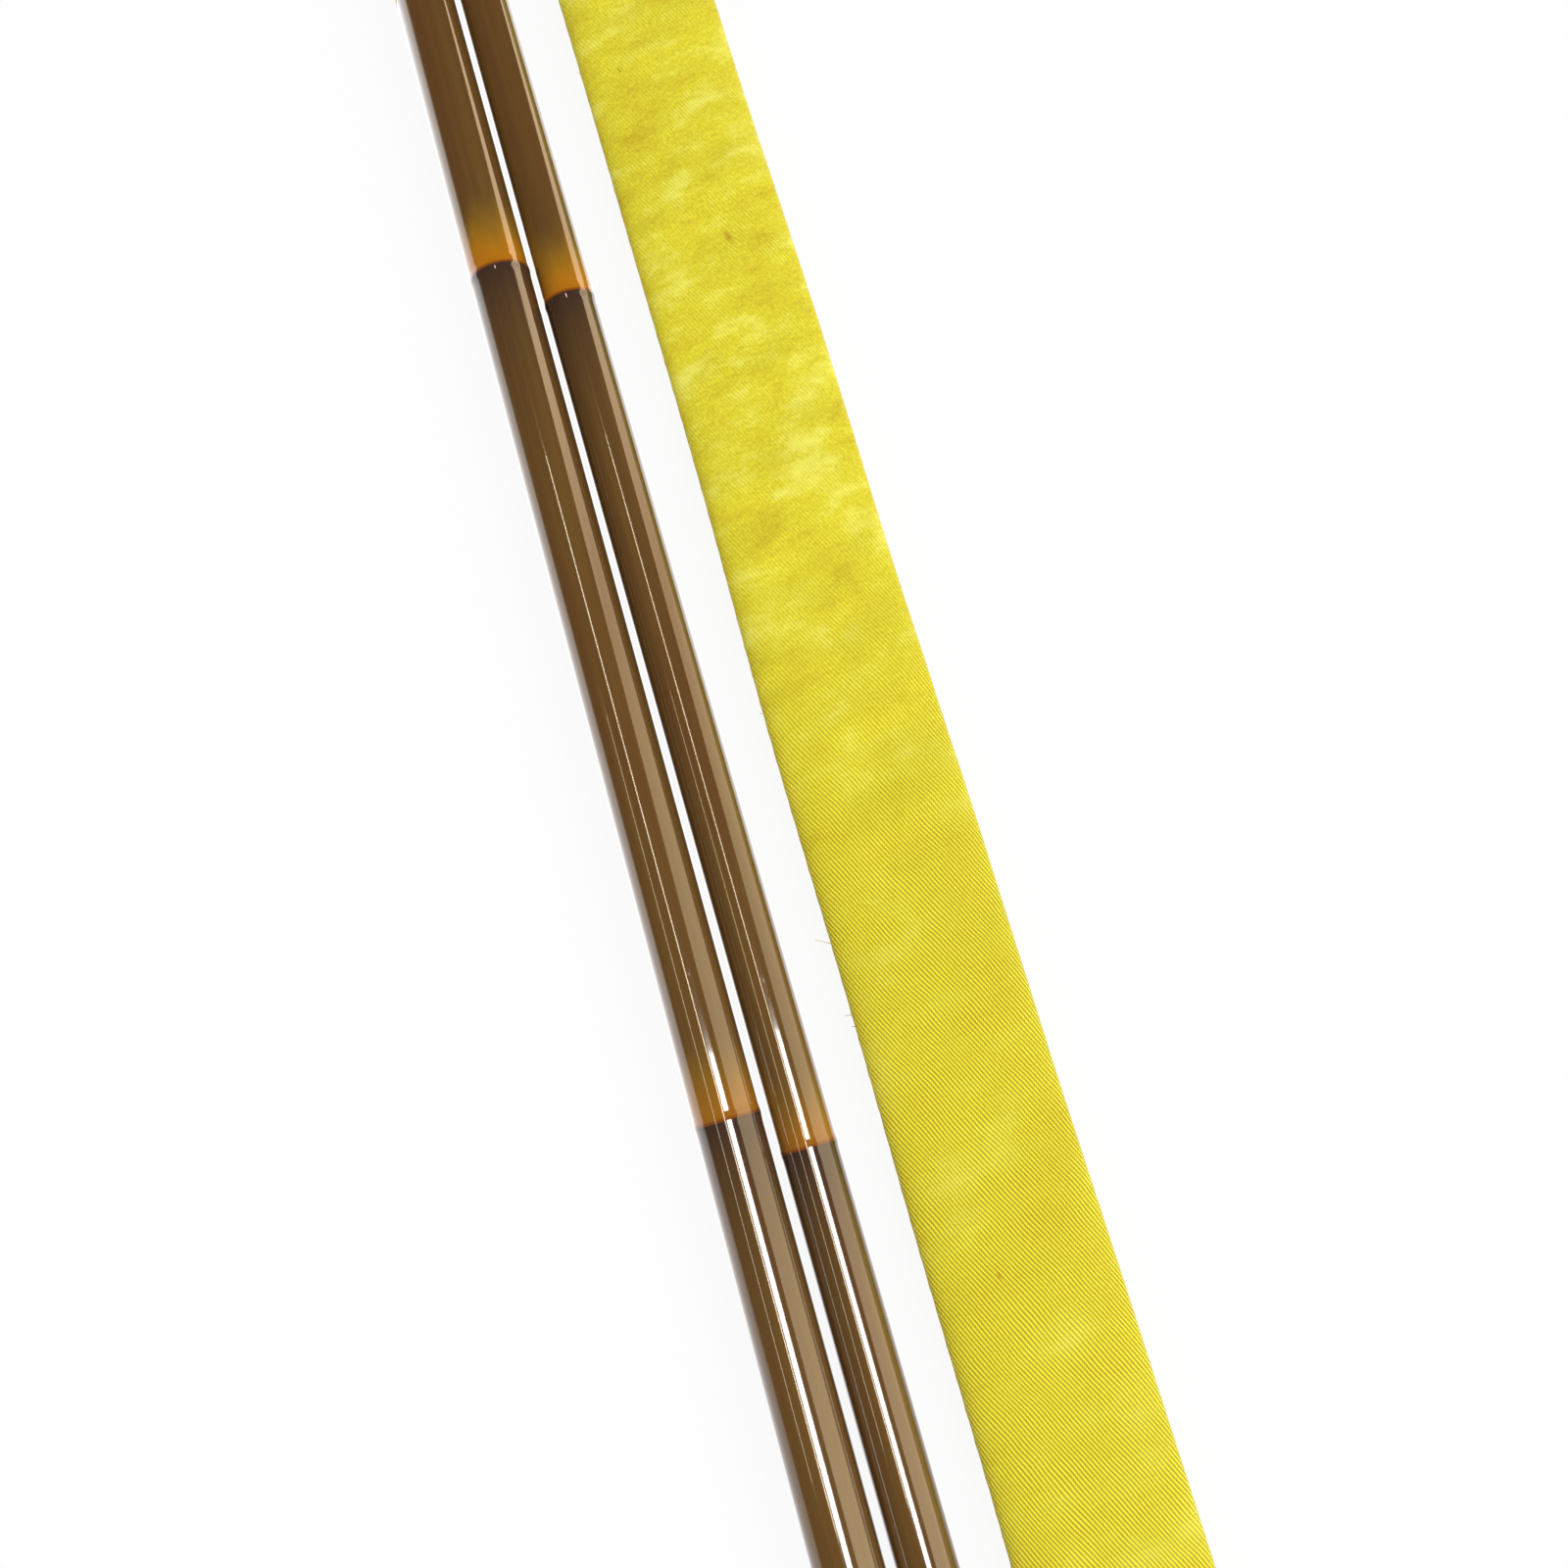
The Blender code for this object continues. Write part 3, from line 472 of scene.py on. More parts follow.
def leather_finish(look):
    """Thin brown leather with pebbled grain, darker at its handled edges."""
    made = Finish("tab_leather", Specular_IOR_Level=0.4)
    cloth = made.place("cloth")
    pebbles = made.node("ShaderNodeTexVoronoi", {"feature": "SMOOTH_F1"},
                        {"Vector": cloth, "Scale": 1500.0}, output="Distance")
    pores = made.noise(cloth, 4200, 3.0)
    cloud = made.noise(cloth, 180, 3.0)
    dark = shaded(look.leather, 0.45)
    colour = made.mix(cloud * 1.3 - 0.15, dark, look.leather)
    colour = made.mix(made.number("edge") * 0.6, colour, dark)
    return made.feed(Base_Color=colour, Roughness=0.5 + pores * 0.25,
                     Normal=made.relief(pebbles + pores * 0.3, 0.00012))


def sewing_finish(look):
    """Two-ply sewing thread."""
    made = Finish("sewing_thread", Roughness=0.75, Sheen_Weight=0.1)
    twist = made.noise(made.node("ShaderNodeTexCoord", output="Object"), 5200)
    colour = made.mix(twist, shaded(look.sewing, 0.7), look.sewing)
    return made.feed(Base_Color=colour, Normal=made.relief(twist, 0.00005))


def distinct_points(node):
    """A CAD node's separate corners, and its edges as pairs of them."""
    bm = bmesh.new()
    bm.from_mesh(frame["nodes"][node].data)
    bmesh.ops.remove_doubles(bm, verts=bm.verts, dist=1e-6)
    bm.verts.index_update()
    points = np.array([vertex.co for vertex in bm.verts], float)
    edges = [(edge.verts[0].index, edge.verts[1].index) for edge in bm.edges]
    bm.free()
    return points, edges


def spread(values):
    """How far apart the least and the greatest value are."""
    return float(values.max() - values.min())


class Axis:
    """The line that a section is turned round, with its stations measured from its own foot."""

    def __init__(self, node):
        points, _ = distinct_points(node)
        middle = points.mean(axis=0)
        _, _, directions = np.linalg.svd(points - middle, full_matrices=False)
        self.along = directions[0] * np.sign(directions[0][1])
        upright = np.array(UP)
        self.up = upright - self.along * (upright @ self.along)
        self.up /= np.linalg.norm(self.up)
        self.side = np.cross(self.along, self.up)
        self.origin = middle + self.along * ((points - middle) @ self.along).min()

    def point(self, station, side, up):
        return self.origin + self.along * station + self.side * side + self.up * up


AXES = {}
CARRIER_OF = {"butt": "butt_blank", "butt_plug": "butt_blank", "third": "third_blank",
              "tip": "tip_blank", "fourth": "fourth_blank", "fourth_plug": "fourth_blank",
              "spigot_cap": "fourth_blank", "second": "second_blank"}


def axis_of(node):
    carrier = CARRIER_OF[BODY_OF[node]]
    if carrier not in AXES:
        AXES[carrier] = Axis(carrier)
    return AXES[carrier]


# Less than any step of the CAD, in metres, and less than half of one of its facets, in radians
TINY = 1e-5
SAME_TURN = 0.05


def read_outline(node):
    """A turned node's outline as (station, radius) points in order, and whether it is closed."""
    axis = axis_of(node)
    points, edges = distinct_points(node)
    away = points - axis.origin
    station = away @ axis.along
    side = away @ axis.side
    up = away @ axis.up
    radius = np.hypot(side, up)
    turn = np.arctan2(side, up)
    central = radius < TINY
    reference = turn[np.argmax(radius)]
    beside = np.abs((turn - reference + pi) % (2 * pi) - pi) < SAME_TURN
    chosen = central | beside
    links = {index: [] for index in np.flatnonzero(chosen)}
    for first, second in edges:
        if chosen[first] and chosen[second]:
            links[first].append(second)
            links[second].append(first)
    ends = [index for index in links if len(links[index]) == 1]
    path = [min(ends or links, key=lambda index: (station[index], -radius[index]))]
    while True:
        onward = [index for index in links[path[-1]] if index not in path]
        if not onward:
            break
        path.append(max(onward, key=lambda index: radius[index]) if len(path) == 1 else onward[0])
    if len(path) != len(links):
        raise RuntimeError(f"{node} has {len(links)} outline corners, and {len(path)} are joined")
    outline = [Vector((station[index], 0.0 if central[index] else radius[index]))
               for index in path]
    if ends:
        outline = [Vector((outline[0].x, 0.0)), *outline, Vector((outline[-1].x, 0.0))]
    return outline, not ends


# A bend in an outline that is left as it is, in radians, and the steps that round a sharper one
NEARLY_STRAIGHT = 0.3
CORNER_STEPS = 3


def softened(outline, closed, reach):
    """An outline with its corners rounded, each within a third of the sides that meet there."""
    made = []
    count = len(outline)
    for index, corner in enumerate(outline):
        if not closed and index in (0, count - 1):
            made.append(corner)
            continue
        before = outline[index - 1] - corner
        after = outline[(index + 1) % count] - corner
        if before.angle(-after) < NEARLY_STRAIGHT:
            made.append(corner)
            continue
        short = min(reach, before.length / 3, after.length / 3)
        first = corner + before.normalized() * short
        last = corner + after.normalized() * short
        for step in range(CORNER_STEPS + 1):
            share = step / CORNER_STEPS
            rest = 1 - share
            made.append(first * rest ** 2 + corner * 2 * share * rest + last * share ** 2)
    return made


def add_ring(points, rings, corners):
    """Adds a ring of corners to a mesh's points, and notes their numbers in its rings."""
    rings.append(range(len(points), len(points) + len(corners)))
    points.extend(corners)


def bands(rings, closed=False, capped=False):
    """Faces between rings of corners, one after another. A ring of one corner is a tip."""
    faces = []
    for ring, following in zip(rings, rings[1:] + rings[:1] if closed else rings[1:]):
        count = max(len(ring), len(following))
        for here in range(count):
            after = (here + 1) % count
            corners = (ring[here % len(ring)], ring[after % len(ring)],
                       following[after % len(following)], following[here % len(following)])
            distinct = tuple(dict.fromkeys(corners))
            if len(distinct) > 2:
                faces.append(distinct)
    if capped:
        faces += [tuple(rings[0]), tuple(rings[-1])]
    return faces


def add_thread(points, faces, path, side, up, sides):
    """A round thread through the middles of a path, as thick as it says at each of them."""
    rings = []
    turns = [2 * pi * facet / sides for facet in range(sides)]
    for middle, thick in path:
        add_ring(points, rings, [middle + side * (thick * cos(turn)) + up * (thick * sin(turn))
                                 for turn in turns])
    faces.extend(bands(rings, capped=True))


def carry_places(mesh, label, values, part=0, period=0.0):
    """Gives every corner of a face a vector, of which one part may go round and start again.

    Where a face crosses the start of a round, the round is carried on over it.
    """
    corners = np.empty(len(mesh.loops), np.int64)
    mesh.loops.foreach_get("vertex_index", corners)
    carried = np.asarray(values, np.float32)[corners]
    if period:
        starts = np.empty(len(mesh.polygons), np.int64)
        totals = np.empty(len(mesh.polygons), np.int64)
        mesh.polygons.foreach_get("loop_start", starts)
        mesh.polygons.foreach_get("loop_total", totals)
        highest = np.repeat(np.maximum.reduceat(carried[:, part], starts), totals)
        carried[carried[:, part] < highest - period / 2, part] += period
    attribute = mesh.attributes.new(label, "FLOAT_VECTOR", "CORNER")
    attribute.data.foreach_set("vector", carried.ravel())


def add_piece(name, node, points, faces, finish, sharp, numbers=None, places=None):
    """Puts a finished mesh in the scene, with its material and what it carries for it.

    It rides on the body of a node. An entry of places is a list of vectors, or
    that list with the part of them that goes round and the length of one round.
    """
    mesh = bpy.data.meshes.new(name)
    mesh.from_pydata([tuple(point) for point in points], [], faces)
    mesh.validate()
    for label, values in (numbers or {}).items():
        attribute = mesh.attributes.new(label, "FLOAT", "POINT")
        attribute.data.foreach_set("value", np.asarray(values, np.float32))
    bm = bmesh.new()
    bm.from_mesh(mesh)
    bmesh.ops.recalc_face_normals(bm, faces=bm.faces)
    bm.to_mesh(mesh)
    bm.free()
    for label, values in (places or {}).items():
        carry_places(mesh, label, *(values if isinstance(values, tuple) else (values,)))
    mesh.shade_smooth()
    mesh.set_sharp_from_angle(angle=radians(sharp))
    mesh.materials.append(finish)
    piece = bpy.data.objects.new(name, mesh)
    bpy.context.scene.collection.objects.link(piece)
    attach(piece, BODY_OF[node])
    return piece


def turn_outline(axis, outline, sides, radius_at=None):
    """Points, rings and grain of an outline turned round an axis.

    radius_at may vary the radius of a corner round the turn.
    """
    points = []
    rings = []
    grain = []
    for index, (station, radius) in enumerate(outline):
        corners = []
        for facet in range(sides if radius else 1):
            turn = 2 * pi * facet / sides
            reach = radius_at(index, station, radius, turn) if radius_at else radius
            side = reach * sin(turn)
            up = reach * cos(turn)
            corners.append(axis.point(station, side, up))
            grain.append((side, up, station))
        add_ring(points, rings, corners)
    return points, rings, grain


def crowned(outline, rise):
    """An outline whose end swells a little: the last for a rise above zero, else the first."""
    last = rise > 0
    rim = outline[-2] if last else outline[1]
    arc = [Vector((rim.x + rise * (1 - share * share), rim.y * share))
           for share in (0.85, 0.65, 0.4, 0.2, 0.0)]
    return outline[:-1] + arc if last else arc[::-1] + outline[1:]


def add_turned(node, finish, edge=None, crown=0.0, outline=None, closed=None, sides=None,
               numbers=None):
    """Turns a node again, rounder and with softened edges, and lets it stand for the node.

    Where no outline is given, the node's own is read. A number goes with each of its corners.
    """
    look = bpy.context.scene.pole_rod_lacquer
    if outline is None:
        outline, closed = read_outline(node)
        if crown:
            outline = crowned(outline, crown)
        outline = softened(outline, closed, edge or look.edge)
    points, rings, grain = turn_outline(axis_of(node), outline, sides or look.sides)
    round_numbers = {}
    for label, values in (numbers or {}).items():
        round_numbers[label] = [value for value, ring in zip(values, rings) for _ in ring]
    piece = add_piece(node + "_finished", node, points, bands(rings, closed), finish, 40,
                      round_numbers, {"grain": grain})
    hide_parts(node)


# What counts as a ridge in a CAD outline, and the steps on each side of its finished form
LEAST_RISE = 0.05 * MM
LONGEST_RIDGE = 4 * MM
RIDGE_STEPS = 14
# A spigot's shoulder is a step of at least this rise, between these stations
SHOULDER_RISE = 0.4 * MM
SHOULDER_FROM = 0.02
SHOULDER_LIMIT = 0.09
# The distance that stands for none, where no node is above or below
FAR = 0.5
# How strong the amber is above every second node, where it is one above the others
AMBER_BETWEEN = 0.62


def ridge(offset, rise, look):
    """Height of a node's ridge at an offset from it, with the fine groove above."""
    half = look.ridge_half * 0.62
    groove = look.ridge_groove * exp(-((offset - look.ridge_half * 1.15) / (0.28 * MM)) ** 2)
    return rise * exp(-(offset / half) ** 2) - groove


def find_ridges(outline):
    """The CAD's ridges: station, radius below, rise and slope of each by its rounded station.

    The corners before and after each of them are left out of the finished outline.
    """
    ridges = {}
    left_out = set()
    for index in range(1, len(outline) - 1):
        before, top, after = outline[index - 1:index + 2]
        span = after.x - before.x
        if not 0 < abs(span) < LONGEST_RIDGE:
            continue
        taper = after.y - before.y
        rise = top.y - before.y - taper * (top.x - before.x) / span
        if rise > LEAST_RISE and abs(top.x - (before.x + after.x) / 2) < 0.1 * MM:
            ridges[round(top.x, 6)] = (top.x, top.y - rise, rise, taper / span)
            left_out.update((index - 1, index + 1))
    return ridges, left_out


def find_shoulder(outline):
    """The station where the blank steps up from its spigot, or 0."""
    last = max(corner.x for corner in outline)
    shoulder = 0.0
    for first, second in zip(outline, outline[1:] + outline[:1]):
        is_step = abs(first.x - second.x) < TINY and abs(first.y - second.y) > SHOULDER_RISE
        if is_step and SHOULDER_FROM < first.x < last - MM:
            shoulder = max(shoulder, min(first.x, SHOULDER_LIMIT))
    return shoulder


def blank_outline(node, look):
    """A blank's outline with smooth ridges, whether it is closed, nodes' stations, and shoulder."""
    outline, closed = read_outline(node)
    ridges, left_out = find_ridges(outline)
    offsets = [3 * look.ridge_half * step / RIDGE_STEPS
               for step in range(-RIDGE_STEPS, RIDGE_STEPS + 1)]
    offsets[RIDGE_STEPS:RIDGE_STEPS + 1] = [-0.02 * MM, 0.02 * MM]
    made = []
    for index, corner in enumerate(outline):
        if index in left_out:
            continue
        station, radius, rise, slope = ridges.get(round(corner.x, 6), (0.0, corner.y, 0.0, 0.0))
        if corner.y <= radius:
            made.append(corner)
            continue
        backwards = outline[index - 1].x > corner.x
        for offset in reversed(offsets) if backwards else offsets:
            height = radius + slope * offset + ridge(offset, rise, look)
            made.append(Vector((station + offset, height)))
    stations = sorted(entry[0] for entry in ridges.values())
    return softened(made, closed, look.edge), closed, stations, find_shoulder(outline)


def add_blank(node, finish, look, sides):
    """A lacquered blank: its ridges, and how far each ring of it is from the nodes beside it."""
    outline, closed, stations, shoulder = blank_outline(node, look)
    numbers = {"above_node": [], "below_node": [], "spigot": [], "amber": []}
    for corner in outline:
        lower = [station for station in stations if station <= corner.x]
        upper = [station for station in stations if station > corner.x]
        numbers["above_node"].append(corner.x - lower[-1] if lower else FAR)
        numbers["below_node"].append(upper[0] - corner.x if upper else FAR)
        numbers["spigot"].append(1.0 if corner.x < shoulder + 0.1 * MM else 0.0)
        numbers["amber"].append(1.0 if len(lower) % 2 == 0 else AMBER_BETWEEN)
    add_turned(node, finish, outline=outline, closed=closed, sides=sides, numbers=numbers)


class BlankOperator(bpy.types.Operator):
    """Turn the five blanks again with smooth node ridges, and lacquer them"""

    bl_idname = "pole_rod.blanks"
    bl_label = "Blanks"

    def execute(self, context):
        look = context.scene.pole_rod_lacquer
        finish = bamboo_finish(look)
        for node in ("butt_blank", "fourth_blank"):
            add_blank(node, finish, look, look.sides)
        for node in ("third_blank", "second_blank", "tip_blank"):
            add_blank(node, finish, look, look.sides // 2)
        return {"FINISHED"}


class BindingOperator(bpy.types.Operator):
    """Wind the thread bindings and lay the gilt bands beside them"""

    bl_idname = "pole_rod.bindings"
    bl_label = "Bindings"

    def execute(self, context):
        look = context.scene.pole_rod_lacquer
        thread = binding_finish(look)
        gilt = gilt_finish(look)
        for node in ("butt_mouth_wrap", "fourth_mouth_wrap", "fourth_shoulder_wrap",
                     "third_mouth_wrap", "second_mouth_wrap", "tip_whipping"):
            add_turned(node, thread, edge=0.1 * MM)
        for node in ("butt_rear_band", "butt_front_band", "fourth_rear_band", "fourth_front_band"):
            add_turned(node, gilt, edge=0.1 * MM)
        return {"FINISHED"}


def add_winding(node, finish, look):
    """The grip's cord as one helix in relief over the winding's solid, with its bed left plain."""
    outline, _ = read_outline(node)
    tops = {}
    beds = {}
    for corner in outline:
        key = round(corner.x, 5)
        tops[key] = max(corner.y, tops.get(key, 0.0))
        beds[key] = min(corner.y, beds.get(key, 1.0))
    low = min(corner.x for corner in outline)
    high = max(corner.x for corner in outline)
    count = int((high - low) / look.pitch * look.samples)
    stations = [low + (high - low) * step / count for step in range(count + 1)]
    crests = np.interp(stations, *zip(*sorted(tops.items())))
    bed = [Vector(entry) for entry in sorted(beds.items()) if entry[1] < tops[entry[0]] - 0.2 * MM]
    profile = [Vector(entry) for entry in zip(stations, crests)] + bed[::-1]
    grooves = []
    lays = []

    def relief(index, station, radius, turn):
        if index >= len(stations):
            grooves.append(1.0)
            lays.append((0.0, 0.0, 0.0))
            return radius
        place = (station - low) / look.pitch - turn / (2 * pi)
        offset = 2 * (place - floor(place)) - 1
        hollow = 1 - sqrt(max(0.0, 1 - offset * offset * 0.96))
        grooves.append(hollow)
        lays.append((station, turn, 0.0))
        return radius - look.relief * hollow

    points, rings, grain = turn_outline(axis_of(node), profile, look.sides, relief)
    piece = add_piece(node + "_finished", node, points, bands(rings, closed=True), finish, 80,
                      {"groove": grooves}, {"grain": grain, "lay": (lays, 1, 2 * pi)})
    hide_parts(node)


class GripOperator(bpy.types.Operator):
    """Wind the grip's cord over its foam core, and turn the collars at its ends"""

    bl_idname = "pole_rod.grip"
    bl_label = "Grip"

    def execute(self, context):
        look = context.scene.pole_rod_grip
        add_turned("grip_core", foam_finish())
        add_winding("grip_winding", cord_finish(look), look)
        lacquer = dark_finish(context.scene.pole_rod_lacquer)
        for node in ("grip_rear_collar", "grip_front_collar"):
            add_turned(node, lacquer)
        return {"FINISHED"}


class EndOperator(bpy.types.Operator):
    """Finish the butt cap and its cushion, the plugs and the spigot cap"""

    bl_idname = "pole_rod.ends"
    bl_label = "Caps and plugs"

    def execute(self, context):
        lacquer = dark_finish(context.scene.pole_rod_lacquer)
        rubber = rubber_finish()
        wood = wood_finish()
        for node, rise in (("butt_cap", -0.7 * MM), ("spigot_cap", -0.5 * MM),
                           ("butt_plug_knob", 0.6 * MM), ("fourth_plug_knob", 0.6 * MM)):
            add_turned(node, lacquer, edge=0.4 * MM, crown=rise)
        for node in ("butt_cushion", "spigot_cap_pad", "butt_plug_ring", "fourth_plug_ring"):
            add_turned(node, rubber)
        for node in ("butt_plug_stem", "fourth_plug_stem"):
            add_turned(node, wood)
        return {"FINISHED"}


def smooth(value):
    value = min(1.0, max(0.0, value))
    return value * value * (3 - 2 * value)


class SleeveForm:
    """The flat sleeve's space, read from its solids: line, widths, heights and its hem's start."""

    # The power of its section, the section's points, and how far from an end its ring may be
    ROUNDNESS = 3.0
    FINE = 720
    END = 2 * MM

    def __init__(self):
        body, _ = distinct_points("bag_sleeve")
        hem, _ = distinct_points("bag_hem")
        foot_ring = body[body[:, 1] < body[:, 1].min() + self.END]
        mouth_ring = hem[hem[:, 1] > hem[:, 1].max() - self.END]
        foot = (foot_ring.max(axis=0) + foot_ring.min(axis=0)) / 2
        mouth = (mouth_ring.max(axis=0) + mouth_ring.min(axis=0)) / 2
        line = (mouth - foot)[:2]
        self.length = float(np.linalg.norm(line))
        self.along = Vector((*(line / self.length), 0.0))
        self.across = Vector((self.along.y, -self.along.x, 0.0))
        self.foot = Vector((foot[0], foot[1], 0.0))
        self.height = float(body[:, 2].max())
        self.foot_height = float(foot_ring[:, 2].max())
        self.hem_height = float(hem[:, 2].max())
        stations = self.places(body)[0]
        self.slope = float(stations[body[:, 2] > self.height - TINY].min())
        self.body_end = float(stations.max())
        self.hem_start = float(self.places(hem)[0].min())
        end_ring = body[stations > self.body_end - self.END]
        across = np.array(self.across)
        self.foot_width = spread(foot_ring @ across)
        self.hem_width = spread(mouth_ring @ across)
        self.end_width = spread(end_ring @ across)
        unit = []
        for step in range(self.FINE):
            turn = 2 * pi * step / self.FINE
            unit.append([np.sign(part) * abs(part) ** (2 / self.ROUNDNESS)
                         for part in (sin(turn), cos(turn))])
        self.unit = np.array(unit + unit[:1])
        _, _, way = self.section(self.width_at(self.length / 2), self.height, 200)
        self.girth = spread(way)

    def places(self, points):
        """Stations and sides of points."""
        away = points - np.array(self.foot)
        return away @ np.array(self.along), away @ np.array(self.across)

    def point(self, station, side, up):
        return self.foot + self.along * station + self.across * side + UP * up

    def width_at(self, station):
        return self.foot_width + (self.end_width - self.foot_width) * station / self.body_end

    def height_at(self, station):
        share = smooth(station / self.slope)
        return self.foot_height + (self.height - self.foot_height) * share

    def section(self, width, height, count):
        """A flattened round outline, evenly spaced: side, up and the way round from its top."""
        samples = self.unit * (width / 2, height / 2) + (0.0, height / 2)
        steps = np.hypot(*np.diff(samples, axis=0).T)
        way = np.concatenate([[0.0], np.cumsum(steps)])
        wanted = np.linspace(0, way[-1], count, endpoint=False)
        side = np.interp(wanted, way, samples[:, 0])
        up = np.interp(wanted, way, samples[:, 1])
        return side, up, np.where(wanted > way[-1] * 0.75, wanted - way[-1], wanted)


class Drape:
    """How lying cloth leaves its plain outline: waves at its edges, swells, dimples and creases."""

    DIMPLES = 900
    CREASES = 34
    # How far along the sleeve a dimple or crease is felt, the slope of an edge's waves, and the
    # height of one swell
    REACH = 0.035
    WAVE_SLOPE = 0.0045
    SWELL = 0.00011

    def __init__(self, form):
        self.form = form
        chance = random.Random(19)
        draw = chance.uniform
        self.swells = [(draw(90, 210), draw(-60, 60), draw(0, 6.3)) for _ in range(5)]
        self.waves = [(draw(20, 75), draw(0, 6.3), draw(0, 6.3)) for _ in range(4)]
        marks = []
        for _ in range(self.DIMPLES):
            handled = chance.random() < 0.5
            station = form.length * (draw(0.74, 0.95) if handled else draw(0.01, 0.985))
            side = draw(-0.46, 0.46) * form.width_at(station)
            slant = chance.gauss(0.12, 0.4)
            reach = draw(0.003, 0.010)
            width = draw(0.0018, 0.0045)
            rise = chance.gauss(0.0, 0.00022 if handled else 0.0001)
            marks.append((station, side, cos(slant), sin(slant), width, reach, rise))
        for _ in range(self.CREASES):
            station = form.length * draw(0.03, 0.97)
            side = draw(-0.4, 0.4) * form.width_at(station)
            slant = chance.gauss(0.2, 0.5)
            marks.append((station, side, cos(slant), sin(slant), draw(0.0012, 0.002),
                          draw(0.008, 0.02), draw(-0.00025, 0.0003)))
        self.marks = np.array(sorted(marks))

    def shift(self, station, side, up, height):
        """Sideways and upward shifts of one row of points."""
        edge = side / (self.form.width_at(station) / 2)
        sideways = np.zeros_like(side)
        for pitch, left, right in self.waves:
            ways = (np.sin(pitch * station + right), np.sin(pitch * station + left))
            sideways += np.where(edge > 0, *ways) * self.WAVE_SLOPE / pitch
        lift = np.zeros_like(side)
        for pitch, lean, start in self.swells:
            lift += np.sin(pitch * station + lean * side + start) * self.SWELL
        near = self.marks[abs(self.marks[:, 0] - station) < self.REACH]
        for place, middle, turn, lean, width, reach, rise in near:
            along = (station - place) * turn - (side - middle) * lean
            across = (station - place) * lean + (side - middle) * turn
            lift += rise * np.exp(-(along / width) ** 2 - (across / reach) ** 2)
        share = np.clip(up / height, 0, 1)
        return sideways * abs(edge) ** 3, lift * share * share * (3 - 2 * share)


def add_stitch(points, faces, start, end, up, radius):
    """One stitch: a short round thread that dips into the cloth at both ends."""
    steps = 6
    side = (end - start).normalized().cross(up).normalized()
    path = []
    for step in range(steps + 1):
        share = step / steps
        swell = sin(pi * share)
        middle = start.lerp(end, share) + up * (radius * (1.5 * swell - 0.6))
        path.append((middle, radius * (0.55 + 0.45 * swell)))
    add_thread(points, faces, path, side, up, sides=6)


